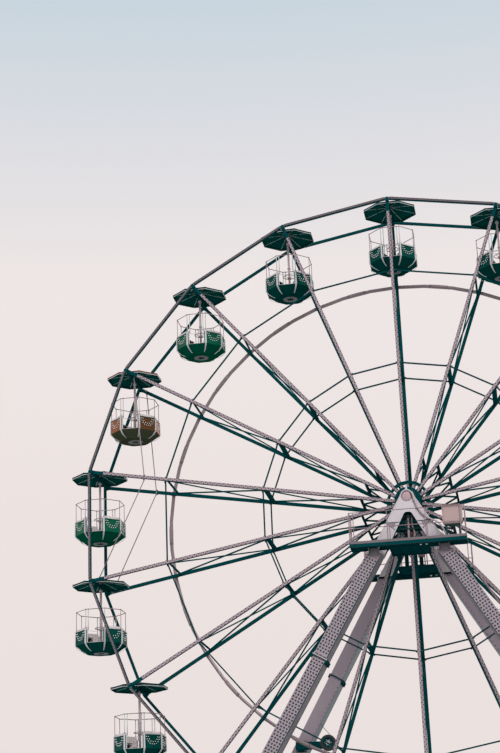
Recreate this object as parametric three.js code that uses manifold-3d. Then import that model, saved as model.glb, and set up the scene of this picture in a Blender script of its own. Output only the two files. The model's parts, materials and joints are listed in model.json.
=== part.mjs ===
// Ferris wheel with eighteen open round cabins. Millimetres, +Z up, the wheel turns about the Y axis,
// the front faces -Y, and the origin lies on the ground under the middle of the hub.
import * as THREE from 'three';
import Module from 'manifold-3d';

const wasm = await Module();
wasm.setup();

// Driving dimensions
const SPOKES = 18;                 // spokes, rim joints and cabins
const HUB_HEIGHT = 16200;          // wheel axis above the ground
const RIM_RADIUS = 12000;          // rim joints
const PIVOT_RADIUS = 11900;        // cabin pivots, in the joint blocks of the rims
const JOINT_IN = 11760;            // inner end of a joint block, where a spoke ends
const JOINT_HALF = 165;            // joint block, half its width
const HALF_HUB = 900;              // middle of the wheel to the middle of a chord, at the axis
const HALF_RIM = 1155;             // the same at the rim
const CHORD_WIDE = 140;            // spoke chord across the spoke
const CHORD_DEEP = 110;            // spoke chord along the axis
const OUTER_TIE_RADIUS = 9000;     // outer ring of ties and cross members
const DRIVE_RADIUS = 9250;         // drive ring on the back
const INNER_TIE_RADIUS = 5310;     // inner ring of ties and cross members
const V_RADIUS = 1760;             // cross member near the hub
const TIE = 50;                    // thin tie, square
const BRACE = 46;                  // diagonal brace, square
const BRACE_IN = 185;              // brace end to the middle of the chord, along the cross member
const GAP = 0.3;                   // between pieces that touch
const RIM_DEEP = 120;              // rim bar, radially
const RUN = 5;                     // least running clearance

const HUB_FLANGE = 800;            // flange radius, to the flat where a spoke ends
const HUB_RING = 630;              // inner edge of the flange ring
const HUB_DRUM = 460;              // drum and front boss
const FLANGE_THICK = 110;
const BOSS_END = 1450;             // front and back end of the boss, from the middle
const SHAFT = 170;                 // shaft radius
const SHAFT_END = 1900;

const HEAD_FACE = 1960;            // outer face of a head frame, from the middle of the wheel
const HEAD_DEEP = 330;             // head frame along the axis
const LEG_FACE = 2450;             // outer face of a leg at the level of the axis
const LEG_RAKE = 0.055;            // outward lean along Y per unit of height
const LEG_DEEP = 850;              // leg along Y
const LEG_OUT = 240;               // outer edge of a leg at the axis level, if it went so high
const LEG_IN = -310;               // inner edge of a leg there
const LEG_SLOPE = 0.588;           // sideways lean per unit of height
const LEG_TOP = 2150;              // leg top under the axis
const SPLICE = 5670;               // middle of the splice flange under the axis
const FOOT_PLATE = 60;             // head frame foot plate
const BASE_TOP = 420;              // top of the base beams
const CROSS = 5500;                // inner cross beams, from the middle
const BEAM_Y = 3131;               // middle of a base beam

const PIN = 30;                    // pivot pin radius
const AXLE = 52;                   // cabin axle radius
const CANOPY = 1065;               // canopy corner radius
const CANOPY_LOW = -10;            // canopy lip from the pivot
const CANOPY_EDGE = 110;           // canopy fascia height
const CANOPY_RISE = 190;           // canopy rise from the fascia to the peak
const TUB = 880;                   // tub flat to middle
const TUB_TOP = -1700;             // levels under the pivot
const TUB_KNEE = -2210;
const TUB_BOTTOM = -2480;
const TUB_BASE = 540;              // bottom plate flat to middle
const TUB_WALL = 45;
const SEAT = -1990;
const WELL = 430;                  // foot well, flat to middle
const FLOOR = -2370;
const SILL = -2200;                // entry sill
const ENTRY = 300;                 // half the entry width
const HOOP = -950;                // guard hoop level
const PIPE = 36;                   // guard pipe, square

const DECK_HALF = 2030;            // gallery half width
const DECK_LEVEL = 1980;           // gallery underside, under the axis
const DECK_THICK = 110;
const DECK_OUT = 3000;             // gallery outer edge
const DECK_IN = 2200;              // gallery inner edge
const STEP_IN = 1110;              // inner edge of the step in to the hub
const STEP_HALF = 700;
const HANGER = 420;                // gallery hanger under the deck, bolted to the leg
const RAIL_HIGH = 1130;
const RAIL = 36;

const colours = {
  steel: 0x1f4a44, pale: 0xd9d3d6, leg: 0x9a9496, cabin: 0x15382f, orange: 0xb4622a, tyre: 0x1b1b1b,
  deck: 0x3a4a47,
};
const group = new THREE.Group();
group.name = 'ferris_wheel';

function solid(geometry) {
  const g = geometry.index ? geometry.toNonIndexed() : geometry.clone();
  const p = g.getAttribute('position').array;
  const seen = new Map();
  const verts = [];
  const tris = [];
  for (let i = 0; i < p.length; i += 3) {
    const key = [p[i], p[i + 1], p[i + 2]].map((v) => Math.round(v * 1e3)).join();
    if (!seen.has(key)) { seen.set(key, verts.length / 3); verts.push(p[i], p[i + 1], p[i + 2]); }
    tris.push(seen.get(key));
  }
  const keep = [];
  for (let i = 0; i < tris.length; i += 3) {
    const [a, b, c] = tris.slice(i, i + 3);
    if (a !== b && b !== c && a !== c) keep.push(a, b, c);
  }
  return new wasm.Manifold(new wasm.Mesh({
    numProp: 3, vertProperties: new Float32Array(verts), triVerts: new Uint32Array(keep),
  }));
}
const join = (list) => wasm.Manifold.union(list);
const vec = (x, y, z) => new THREE.Vector3(x, y, z);

function box(x0, x1, y0, y1, z0, z1) {
  const g = new THREE.BoxGeometry(x1 - x0, y1 - y0, z1 - z0);
  g.translate((x0 + x1) / 2, (y0 + y1) / 2, (z0 + z1) / 2);
  return solid(g);
}
// The same box on the front side, with y reversed, or on the back side.
const mirrored = (s, x0, x1, y0, y1, z0, z1) => box(x0, x1, s < 0 ? -y1 : y0, s < 0 ? -y0 : y1, z0, z1);
// Square bar from p to q: wide along the side direction, deep across it.
function bar(p, q, wide, deep, side) {
  const along = q.clone().sub(p);
  const length = along.length();
  along.normalize();
  const across = side.clone().addScaledVector(along, -side.dot(along)).normalize();
  const depth = along.clone().cross(across);
  const m = new THREE.Matrix4().makeBasis(across, depth, along);
  m.setPosition(p.clone().add(q).multiplyScalar(0.5));
  return solid(new THREE.BoxGeometry(wide, deep, length).applyMatrix4(m));
}
// Round bar along Y with a corner or a flat at the top.
function round(x, z, radius, y0, y1, sides, corner = true) {
  const g = new THREE.CylinderGeometry(radius, radius, y1 - y0, sides);
  if (!corner) g.rotateY(Math.PI / sides);
  g.translate(x, (y0 + y1) / 2, z);
  return solid(g);
}
// Upright prism or cone with a flat or a corner facing Y; radii run to the corners.
function cone(bottom, top, z0, z1, sides, flat = true) {
  const g = new THREE.CylinderGeometry(top, bottom, z1 - z0, sides);
  if (flat) g.rotateY(Math.PI / sides);
  g.rotateX(Math.PI / 2);
  g.translate(0, 0, (z0 + z1) / 2);
  return solid(g);
}
// Flat shape in X and Z, given depth along Y.
function plate(points, y0, y1) {
  const shape = new THREE.Shape(points.map(([x, z]) => new THREE.Vector2(x, z)));
  const g = new THREE.ExtrudeGeometry(shape, { depth: y1 - y0, bevelEnabled: false });
  g.rotateX(Math.PI / 2);
  g.translate(0, y1, 0);
  return solid(g);
}
function add(name, body, colour) {
  const mesh = body.getMesh();
  const g = new THREE.BufferGeometry();
  const p = new Float32Array((mesh.vertProperties.length / mesh.numProp) * 3);
  for (let i = 0; i < p.length / 3; i += 1) {
    for (let k = 0; k < 3; k += 1) p[3 * i + k] = mesh.vertProperties[i * mesh.numProp + k];
  }
  g.setAttribute('position', new THREE.BufferAttribute(p, 3));
  g.setIndex(new THREE.BufferAttribute(new Uint32Array(mesh.triVerts), 1));
  g.computeVertexNormals();
  const piece = new THREE.Mesh(g, new THREE.MeshStandardMaterial({ color: colour }));
  piece.name = name;
  group.add(piece);
}
const two = (n) => String(n).padStart(2, '0');
const turn = (k) => (-360 / SPOKES) * k;
const toHub = (body) => body.translate([0, 0, HUB_HEIGHT]);
const half = (r) => HALF_HUB + ((HALF_RIM - HALF_HUB) * r) / RIM_RADIUS;
const X = vec(1, 0, 0);
const SIDE_COS = Math.cos(Math.PI / SPOKES);
const SIDE_TAN = Math.tan(Math.PI / SPOKES);

// Ring of straight bars between radii given at the middle of each bar.
function polygonRing(inner, outer, y0, y1) {
  const a = round(0, 0, outer / SIDE_COS, y0, y1, SPOKES);
  return a.subtract(round(0, 0, inner / SIDE_COS, y0 - 1, y1 + 1, SPOKES));
}

// Rims: closed polygons with a joint block and a bearing hole at every corner.
const rimIn = RIM_RADIUS * SIDE_COS - RIM_DEEP / 2;
const rimOut = RIM_RADIUS * SIDE_COS + RIM_DEEP / 2;
for (const [name, s] of [['front_rim', -1], ['back_rim', 1]]) {
  const y = [s * (HALF_RIM - CHORD_DEEP / 2), s * (HALF_RIM + CHORD_DEEP / 2)].sort((a, b) => a - b);
  const holes = [];
  const blocks = [polygonRing(rimIn, rimOut, y[0], y[1])];
  for (let k = 0; k < SPOKES; k += 1) {
    blocks.push(box(-JOINT_HALF, JOINT_HALF, y[0], y[1], JOINT_IN, RIM_RADIUS - 30).rotate([0, turn(k), 0]));
    holes.push(round(0, PIVOT_RADIUS, (PIN + 0.4) / Math.cos(Math.PI / 6), y[0] - 1, y[1] + 1, 6, false)
      .rotate([0, turn(k), 0]));
  }
  add(name, toHub(join(blocks).subtract(join(holes))), colours.steel);
}

// Spokes: front and back chord, cross members, crossed braces and the V at the hub, welded.
const spokeEnd = JOINT_IN - GAP;
const spokeRoot = HUB_FLANGE + GAP;
function spoke() {
  const parts = [];
  for (const s of [-1, 1]) {
    const root = spokeRoot - 60;
    const end = spokeEnd + 60;
    parts.push(bar(vec(0, s * half(root), root), vec(0, s * half(end), end), CHORD_WIDE, CHORD_DEEP, X));
    parts.push(bar(vec(0, 0, V_RADIUS), vec(0, s * half(1000), 1000), 60, 60, X));
  }
  for (const [r, w] of [[OUTER_TIE_RADIUS, 100], [INNER_TIE_RADIUS, 90], [V_RADIUS, 100]]) {
    parts.push(bar(vec(0, -half(r), r), vec(0, half(r), r), w, w, X));
  }
  for (const [a, b] of [[OUTER_TIE_RADIUS, INNER_TIE_RADIUS], [INNER_TIE_RADIUS, V_RADIUS]]) {
    const ya = half(a) - BRACE_IN;
    const yb = half(b) - BRACE_IN;
    parts.push(bar(vec(0, -ya, a - 20), vec(0, yb, b + 20), BRACE, BRACE, X));
    parts.push(bar(vec(0, ya, a - 20), vec(0, -yb, b + 20), BRACE + 8, BRACE, X));
  }
  return join(parts).trimByPlane([0, 0, 1], spokeRoot).trimByPlane([0, 0, -1], -spokeEnd);
}
const oneSpoke = spoke();
for (let k = 0; k < SPOKES; k += 1) {
  add(`spoke_${two(k)}`, toHub(oneSpoke.rotate([0, turn(k), 0])), colours.steel);
}

// Tie rings sit on the cross members, just inside the chords.
function tieRing(name, radius, member, s) {
  const inner = (radius + member / 2 + GAP + (member / 2) * SIDE_TAN) * SIDE_COS;
  const edge = half(radius) - CHORD_DEEP / 2 - 6;
  const y = [s * (edge - TIE), s * edge].sort((a, b) => a - b);
  add(name, toHub(polygonRing(inner, inner + TIE, y[0], y[1])), colours.steel);
}
tieRing('front_outer_tie', OUTER_TIE_RADIUS, 100, -1);
tieRing('front_inner_tie', INNER_TIE_RADIUS, 90, -1);
tieRing('back_inner_tie', INNER_TIE_RADIUS, 90, 1);

// Drive ring: a round tube on the outer faces of the back chords, where the drive tyre runs.
const RING_TUBE = 68;
const ringY = half(DRIVE_RADIUS) + CHORD_DEEP / 2 + RING_TUBE + GAP + 0.1;
{
  const profile = [];
  for (let i = 0; i <= 6; i += 1) {
    const a = (Math.PI / 3) * (i + 0.5);
    profile.push(new THREE.Vector2(DRIVE_RADIUS + RING_TUBE * Math.cos(a), RING_TUBE * Math.sin(a)));
  }
  const ring = solid(new THREE.LatheGeometry(profile, 3 * SPOKES));
  const out = ring.volume() < 0 ? ring.mirror([1, 0, 0]) : ring;
  add('drive_ring', toHub(out.translate([0, ringY, 0])), colours.pale);
}

// Hub: drum, two flange rings carried by ribs, front and back boss, and the shaft.
{
  const flats = (r, y0, y1) => round(0, 0, r / SIDE_COS, y0, y1, SPOKES, false);
  const parts = [
    round(0, 0, HUB_DRUM, -BOSS_END, BOSS_END, SPOKES, false),
    round(0, 0, SHAFT, -SHAFT_END, SHAFT_END, 16),
  ];
  for (const s of [-1, 1]) {
    const y0 = s * HALF_HUB - FLANGE_THICK / 2;
    const y1 = s * HALF_HUB + FLANGE_THICK / 2;
    parts.push(flats(HUB_FLANGE, y0, y1).subtract(flats(HUB_RING, y0 - 1, y1 + 1)));
    for (let k = 0; k < SPOKES / 2; k += 1) {
      parts.push(box(-30, 30, y0 + 15, y1 - 15, -HUB_RING - 40, HUB_RING + 40).rotate([0, turn(k), 0]));
    }
  }
  add('hub', toHub(join(parts)), colours.steel);
}

// Cabins: axle, canopy, pole, tub with two entries and a guard hoop, one welded body each, hanging level.
function cabin() {
  const corner = 1 / Math.cos(Math.PI / 8);
  const parts = [];
  const axleEnd = HALF_RIM - CHORD_DEEP / 2 - GAP;
  parts.push(round(0, 0, AXLE, -axleEnd, axleEnd, 6));
  parts.push(round(0, 0, PIN, -(HALF_RIM + CHORD_DEEP / 2), HALF_RIM + CHORD_DEEP / 2, 6));
  const low = CANOPY_LOW;
  const top = CANOPY_LOW + CANOPY_EDGE;
  const roof = join([cone(CANOPY, CANOPY, low, top, 8), cone(CANOPY, 90, top, top + CANOPY_RISE, 8)]);
  const under = join([
    cone(CANOPY - 35, CANOPY - 35, low - 10, top - 60, 8),
    cone(CANOPY - 35, 90, top - 60, top + CANOPY_RISE - 60, 8),
  ]);
  parts.push(roof.subtract(under));
  parts.push(box(-48, 48, -48, 48, FLOOR - 20, top + CANOPY_RISE - 30));
  const shell = join([
    cone(TUB * corner, TUB * corner, TUB_KNEE, TUB_TOP, 8),
    cone(TUB_BASE * corner, TUB * corner, TUB_BOTTOM, TUB_KNEE, 8),
  ]);
  const space = join([
    cone((TUB - TUB_WALL) * corner, (TUB - TUB_WALL) * corner, SEAT, TUB_TOP + 50, 8),
    cone(WELL * corner, WELL * corner, FLOOR, SEAT + 20, 8),
    box(-ENTRY, ENTRY, -TUB - 50, TUB + 50, SILL, TUB_TOP + 50),
  ]);
  parts.push(shell.subtract(space));
  // Guard hoop: one closed ring over the tub on four posts beside the entries.
  const ax = (TUB - 12) * Math.tan(Math.PI / 8);
  const ay = TUB - 12;
  const by = ay - PIPE;
  const hole = cone(by * corner, by * corner, HOOP - PIPE - 1, HOOP + 1, 8);
  parts.push(cone(ay * corner, ay * corner, HOOP - PIPE, HOOP, 8).subtract(hole));
  for (const s of [-1, 1]) {
    for (const y of [-1, 1]) {
      const px = s * (ax + 2);
      const py = y * (ay - PIPE / 2 - 4);
      parts.push(box(px - 13, px + 13, py - 13, py + 13, TUB_TOP - 20, HOOP - PIPE / 2));
    }
  }
  return join(parts);
}
const oneCabin = cabin();
for (let k = 0; k < SPOKES; k += 1) {
  const a = (2 * Math.PI * k) / SPOKES;
  const place = [-PIVOT_RADIUS * Math.sin(a), 0, HUB_HEIGHT + PIVOT_RADIUS * Math.cos(a)];
  add(`cabin_${two(k)}`, oneCabin.translate(place), k === 3 ? colours.orange : colours.cabin);
}

// Head frames: A-shaped boxes with the shaft bearing at the top and two feet on the legs.
const edgeOut = (d) => LEG_OUT + LEG_SLOPE * d;
const edgeIn = (d) => LEG_IN + LEG_SLOPE * d;
const BORE = (SHAFT + 0.5) / Math.cos(Math.PI / 16);
function headFrame(s) {
  const d = LEG_TOP - GAP;
  const y = [s * HEAD_FACE, s * (HEAD_FACE - HEAD_DEEP)].sort((a, b) => a - b);
  const outline = [
    [-250, 50], [-160, 190], [-70, 235], [70, 235], [160, 190], [250, 50], [edgeOut(d), -d], [edgeIn(d), -d],
    [210, -560], [-210, -560], [-edgeIn(d), -d], [-edgeOut(d), -d],
  ];
  const face = plate(outline, y[0], y[1]);
  const foot = [];
  for (const x of [-1, 1]) {
    const a = [x * edgeIn(d), x * edgeOut(d)].sort((p, q) => p - q);
    const b = [s * (HEAD_FACE - HEAD_DEEP), s * LEG_FACE + s * LEG_RAKE * d].sort((p, q) => p - q);
    foot.push(box(a[0] - 30, a[1] + 30, b[0], b[1], -d, -d + FOOT_PLATE));
  }
  const span = [s * (HEAD_FACE - HEAD_DEEP - 10), s * (SHAFT_END + 4)].sort((a, b) => a - b);
  const rise = [s * (HEAD_FACE - 5), s * (HEAD_FACE + 60)].sort((a, b) => a - b);
  const cover = round(0, 0, SHAFT - 5, rise[0], rise[1], 16);
  return join([face, ...foot, cover]).subtract(round(0, 0, BORE, span[0], span[1], 16, false));
}
add('head_front', toHub(headFrame(-1)), colours.pale);
add('head_back', toHub(headFrame(1)), colours.pale);

// Legs: raked box columns from the base beams to the head frames, with a splice flange.
function leg(sx, sy) {
  const z0 = BASE_TOP + GAP - HUB_HEIGHT;
  const rows = [-LEG_TOP, z0].map((z) => {
    const x0 = edgeIn(-z);
    const x1 = edgeOut(-z);
    const y1 = LEG_FACE - LEG_RAKE * z;
    const y0 = y1 - LEG_DEEP;
    return [[x0, y0], [x1, y0], [x1, y1], [x0, y1]].map(([x, y]) => [sx * x, sy * y, z]);
  });
  const p = rows.flat();
  const faces = [[0, 1, 2, 3], [7, 6, 5, 4], [0, 4, 5, 1], [1, 5, 6, 2], [2, 6, 7, 3], [3, 7, 4, 0]];
  const tris = [];
  for (const [a, b, c, e] of faces) {
    if (sx * sy > 0) tris.push(a, b, c, a, c, e); else tris.push(a, c, b, a, e, c);
  }
  const column = new wasm.Manifold(new wasm.Mesh({
    numProp: 3, vertProperties: new Float32Array(p.flat()), triVerts: new Uint32Array(tris),
  }));
  const lean = Math.atan(LEG_SLOPE);
  const flange = (d, grow, thick, angle) => {
    const wide = (LEG_OUT - LEG_IN) * Math.cos(angle) + 2 * grow;
    const deep = LEG_DEEP + 2 * grow;
    const place = [(sx * (edgeIn(d) + edgeOut(d))) / 2, sy * (LEG_FACE + LEG_RAKE * d - LEG_DEEP / 2), -d];
    return box(-wide / 2, wide / 2, -deep / 2, deep / 2, -thick / 2, thick / 2)
      .rotate([0, (-sx * angle * 180) / Math.PI, 0]).translate(place);
  };
  return join([column, flange(SPLICE, 45, 50, lean), flange(-z0 - 30, 120, 60, 0)]);
}
for (const [side, sx] of [['left', -1], ['right', 1]]) {
  add(`leg_front_${side}`, toHub(leg(sx, -1)), colours.leg);
  add(`leg_back_${side}`, toHub(leg(sx, 1)), colours.leg);
}

// Galleries: service decks on the leg heads with a step in to the hub, and guard rails.
function gallery(s) {
  const low = -DECK_LEVEL;
  const top = low + DECK_THICK;
  const flip = (x0, x1, y0, y1, z0, z1) => mirrored(s, x0, x1, y0, y1, z0, z1);
  const parts = [
    flip(-DECK_HALF, DECK_HALF, DECK_IN, DECK_OUT, low, top),
    flip(-STEP_HALF, STEP_HALF, STEP_IN, DECK_IN + 10, low, top),
  ];
  for (const z of [top + RAIL_HIGH, top + RAIL_HIGH / 2]) {
    parts.push(flip(-DECK_HALF, DECK_HALF, DECK_OUT - RAIL, DECK_OUT, z - RAIL, z));
    for (const x of [-DECK_HALF, DECK_HALF - RAIL]) {
      parts.push(flip(x, x + RAIL, DECK_IN, DECK_OUT, z - RAIL, z));
    }
  }
  for (const x of [-DECK_HALF, -DECK_HALF / 3, DECK_HALF / 3 - RAIL, DECK_HALF - RAIL]) {
    parts.push(flip(x, x + RAIL, DECK_OUT - RAIL, DECK_OUT, low, top + RAIL_HIGH));
  }
  for (const x of [-DECK_HALF, DECK_HALF - RAIL]) {
    parts.push(flip(x, x + RAIL, DECK_IN, DECK_IN + RAIL, low, top + RAIL_HIGH));
  }
  const face = LEG_FACE + LEG_RAKE * (DECK_LEVEL + HANGER) + GAP;
  for (const x of [-1, 1]) {
    const mid = (x * (edgeIn(LEG_TOP) + edgeOut(LEG_TOP))) / 2;
    const foot = -LEG_TOP + FOOT_PLATE + 2 * GAP;
    parts.push(flip(mid - 130, mid + 130, DECK_IN + 60, LEG_FACE + 60, foot, low + 10));
    parts.push(flip(mid - 60, mid + 60, face, face + 110, low - HANGER, low + 10));
  }
  return join(parts);
}
add('gallery_front', toHub(gallery(-1)), colours.deck);
add('gallery_back', toHub(gallery(1)), colours.deck);

// Control cabinet on two posts on the front gallery.
{
  const top = -DECK_LEVEL + DECK_THICK;
  const cab = [box(1240, 1940, -DECK_OUT + 60, -DECK_OUT + 310, top + 490, top + 1160)];
  for (const x of [1340, 1780]) {
    cab.push(box(x, x + 60, -DECK_OUT + 150, -DECK_OUT + 210, top + GAP, top + 500));
  }
  add('control_cabinet', toHub(join(cab)), colours.pale);
}

// Service cable clipped to the face of the front head frame, down to the gallery.
{
  const r = 32;
  const y = -(HEAD_FACE + r + GAP);
  const top = -DECK_LEVEL + DECK_THICK;
  const way = [[190, y, 110], [222, y, 20], [290, y, -200], [390, y, -500], [520, y, -690], [680, y, -850],
    [830, y, -945], [1000, y - 30, -1040], [1190, y - 120, -1290], [1290, y - 230, -1560],
    [1310, y - 280, top + 40], [1310, y - 282, top + GAP]].map((at) => vec(...at));
  const shape = new THREE.Shape(Array.from({ length: 8 }, (_, i) => new THREE.Vector2(
    r * Math.cos((i * Math.PI) / 4), r * Math.sin((i * Math.PI) / 4))));
  const path = new THREE.CatmullRomCurve3(way, false, 'centripetal');
  const along = { steps: 30, extrudePath: path, bevelEnabled: false };
  const tube = solid(new THREE.ExtrudeGeometry(shape, along));
  const cut = tube.trimByPlane([0, -1, 0], HEAD_FACE + GAP).trimByPlane([0, 0, 1], top + GAP);
  add('service_cable', toHub(cut), colours.tyre);
}

// Base: two long beams under the legs, cross beams between them, foot pads, and a plate under each leg.
const footX = (edgeIn(HUB_HEIGHT) + edgeOut(HUB_HEIGHT)) / 2;
const footY = LEG_FACE + LEG_RAKE * (HUB_HEIGHT - BASE_TOP) - LEG_DEEP / 2;
{
  const parts = [];
  const reach = footX + 700;
  for (const s of [-1, 1]) {
    const y = s * BEAM_Y;
    parts.push(box(-reach, reach, y - 240, y + 240, 60, BASE_TOP));
    for (const x of [-footX, -CROSS, CROSS, footX]) {
      parts.push(box(x - 420, x + 420, y - 420, y + 420, 0, 70));
    }
    for (const x of [-footX, footX]) {
      parts.push(box(x - 410, x + 410, s * footY - 560, s * footY + 560, BASE_TOP - 46, BASE_TOP));
    }
  }
  for (const x of [-footX, -CROSS, CROSS, footX]) {
    parts.push(box(x - 170, x + 170, -BEAM_Y, BEAM_Y, 100, BASE_TOP - 40));
  }
  add('base_frame', join(parts), colours.leg);
}

// Boarding decks: one in front to get in and one behind to get out, with steps at both ends and guard rails.
const BOARD_TOP = 2050;            // deck level under the lowest cabin's sill
const BOARD_HALF = 2600;
const BOARD_IN = 1290;             // deck edge beside the wheel
const BOARD_OUT = 2860;
const TREADS = 9;
const TREAD = 270;
function boarding(s) {
  const flip = (x0, x1, y0, y1, z0, z1) => mirrored(s, x0, x1, y0, y1, z0, z1);
  const parts = [flip(-BOARD_HALF, BOARD_HALF, BOARD_IN, BOARD_OUT, BOARD_TOP - 90, BOARD_TOP)];
  for (const x of [-BOARD_HALF, -60, BOARD_HALF - 120]) {
    for (const y of [BOARD_IN + 60, BEAM_Y - 240 - GAP - 120]) {
      parts.push(flip(x, x + 120, y, y + 120, 0, BOARD_TOP - 20));
    }
  }
  const rise = BOARD_TOP / (TREADS + 1);
  for (const side of [-1, 1]) {
    const steps = [[BOARD_HALF - 5, BOARD_TOP - 20]];
    for (let i = 0; i < TREADS; i += 1) {
      const z = BOARD_TOP - rise * (i + 1);
      steps.push([BOARD_HALF + TREAD * i, z], [BOARD_HALF + TREAD * (i + 1), z]);
    }
    const end = BOARD_HALF + TREAD * TREADS;
    steps.push([end, 0], [end - TREAD, 0], [BOARD_HALF - 5, BOARD_TOP - 320]);
    const y = [s * BOARD_IN, s * (BEAM_Y - 240 - GAP)].sort((a, b) => a - b);
    parts.push(plate(steps.map(([x, z]) => [side * x, z]), y[0], y[1]));
  }
  for (const z of [BOARD_TOP + 1050, BOARD_TOP + 550]) {
    parts.push(flip(-BOARD_HALF, BOARD_HALF, BOARD_OUT - 40, BOARD_OUT, z - 40, z));
    for (const side of [-1, 1]) {
      const x = [side * 700, side * BOARD_HALF].sort((a, b) => a - b);
      parts.push(flip(x[0], x[1], BOARD_IN, BOARD_IN + 40, z - 40, z));
    }
  }
  for (const x of [-BOARD_HALF, -20, BOARD_HALF - 40]) {
    parts.push(flip(x, x + 40, BOARD_OUT - 40, BOARD_OUT, BOARD_TOP - 50, BOARD_TOP + 1050));
  }
  for (const x of [-BOARD_HALF, -740, 700, BOARD_HALF - 40]) {
    parts.push(flip(x, x + 40, BOARD_IN, BOARD_IN + 40, BOARD_TOP - 50, BOARD_TOP + 1050));
  }
  return join(parts);
}
add('boarding_deck_front', boarding(-1), colours.deck);
add('boarding_deck_back', boarding(1), colours.deck);

// Ladder up the outer side of the front right leg.
{
  const d0 = DECK_LEVEL + 700;
  const d1 = HUB_HEIGHT - BASE_TOP - 900;
  const at = (d, out, y) => vec(edgeOut(d) + out, -(LEG_FACE + LEG_RAKE * d) + y, -d);
  const parts = [];
  const off = 260;
  for (const y of [60, 440]) parts.push(bar(at(d0, off, y), at(d1, off, y), 50, 50, vec(0, 1, 0)));
  for (let i = 0; i < 9; i += 1) {
    const d = d0 + 300 + ((d1 - d0 - 600) * i) / 8;
    parts.push(bar(at(d, off, 50), at(d, off, 450), 34, 34, vec(0, 0, 1)));
    if (i % 2 === 0) parts.push(bar(at(d, off, 90), at(d, -30, 90), 40, 40, vec(0, 1, 0)));
  }
  const skin = leg(1, -1);
  const swell = wasm.Manifold.union([-1, 1].map((k) => skin.translate([k * GAP, 0, 0])));
  add('ladder', toHub(join(parts).subtract(swell)), colours.leg);
}

// Drive unit on the back left leg: arm, motor and a tyre that rolls on the inside of the drive ring.
const TYRE = 290;
const TYRE_WIDE = 150;
const DRIVE_ANGLE = 24.2;          // from the lowest point of the ring, to the left
{
  const ringIn = (DRIVE_RADIUS - RING_TUBE * Math.cos(Math.PI / 6)) * Math.cos(Math.PI / (3 * SPOKES));
  const r = ringIn - RUN - 0.5 - TYRE;
  const a = (DRIVE_ANGLE * Math.PI) / 180;
  const x = -r * Math.sin(a);
  const z = -r * Math.cos(a);
  const y0 = half(DRIVE_RADIUS) + CHORD_DEEP / 2 + 8;
  const y1 = y0 + TYRE_WIDE;
  const bore = (60 + 0.5) / Math.cos(Math.PI / 12);
  const tyre = round(0, 0, TYRE, y0, y1, 24).subtract(round(0, 0, bore, y0 - 1, y1 + 1, 12, false));
  add('drive_tyre', toHub(tyre.translate([x, 0, z])), colours.tyre);
  const near = LEG_FACE + LEG_RAKE * (-z - 190) - LEG_DEEP;
  const mid = -(edgeIn(-z) + edgeOut(-z)) / 2;
  const arm = join([
    round(x, z, 60, y0 + 6, y1 + 80, 12),
    round(x, z, 205, y1 + 70, near - 300, 16),
    box(mid - 150, x + 150, near - 330, near - 150, z - 130, z + 130),
    box(mid - 190, mid + 190, near - 160, near - GAP, z - 190, z + 190),
  ]);
  add('drive_unit', toHub(arm), colours.steel);
}

export default group;
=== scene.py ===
"""Ferris wheel with eighteen open round cabins: finishes, lamps and detailed pieces on the fixed frame."""

import json
import math

import bpy
import numpy as np
from bpy.props import FloatProperty, FloatVectorProperty, IntProperty, PointerProperty
from mathutils import Matrix, Vector


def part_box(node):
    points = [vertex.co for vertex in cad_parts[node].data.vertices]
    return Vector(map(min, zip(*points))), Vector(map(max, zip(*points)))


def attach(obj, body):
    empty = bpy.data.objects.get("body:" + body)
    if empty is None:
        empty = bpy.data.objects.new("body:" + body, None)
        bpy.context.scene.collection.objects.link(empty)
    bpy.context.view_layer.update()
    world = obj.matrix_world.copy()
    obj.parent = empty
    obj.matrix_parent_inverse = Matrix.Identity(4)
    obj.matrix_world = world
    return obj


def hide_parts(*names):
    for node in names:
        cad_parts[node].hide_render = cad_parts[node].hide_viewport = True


bl_info = {
    "name": "Ferris wheel",
    "version": (1, 0, 0),
    "blender": (4, 5, 0),
    "location": "3D View > Sidebar > Ferris wheel",
    "description": "Builds the finishes and the detailed pieces of a fairground wheel on its fixed frame",
    "category": "Object",
}

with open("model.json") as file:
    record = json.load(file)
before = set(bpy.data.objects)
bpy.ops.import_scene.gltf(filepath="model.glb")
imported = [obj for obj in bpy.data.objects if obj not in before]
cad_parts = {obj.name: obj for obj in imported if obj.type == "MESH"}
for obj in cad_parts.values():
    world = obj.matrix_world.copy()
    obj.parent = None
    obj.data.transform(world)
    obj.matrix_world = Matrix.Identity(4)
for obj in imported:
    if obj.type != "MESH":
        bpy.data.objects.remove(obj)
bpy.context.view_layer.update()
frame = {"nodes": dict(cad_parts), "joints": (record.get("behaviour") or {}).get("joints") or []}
AXIS = next(j for j in frame["joints"] if j["name"] == "wheel_spin")["pos_m"][2]
X, Y, Z, DOWN = (1, 0, 0), (0, 1, 0), (0, 0, 1), (0, 0, -1)
SIDES = (-1, 1)
CHORD = 0.0555  # half a packed chord's width
V_TOP = 1.76  # radius where the V bars of a spoke meet
MEMBER = 0.09  # width of the inner cross members
C8, T8 = math.cos(math.pi / 8), math.tan(math.pi / 8)
CORNERS = np.pi / 8 + np.pi / 4 * np.arange(8)  # a cabin's corners, as angles
INNER = 0.44  # a cabin's floor, from the pole to a side
AMBER, DARK = 3, (0, 1, 5, 6, 9, 10, 14, 17)  # cabins in another colour
GATE = 0.53  # sideways lean of a head frame's opening per unit of height
DECK = 2.6  # half a boarding deck's length


# ---- Sizes and colours a user would change ----

def metres(name, description, default):
    return FloatProperty(name=name, description=description, default=default, unit="LENGTH")


def hue(name, description, default):
    return FloatVectorProperty(name=name, description=description, default=default, subtype="COLOR")


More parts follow.
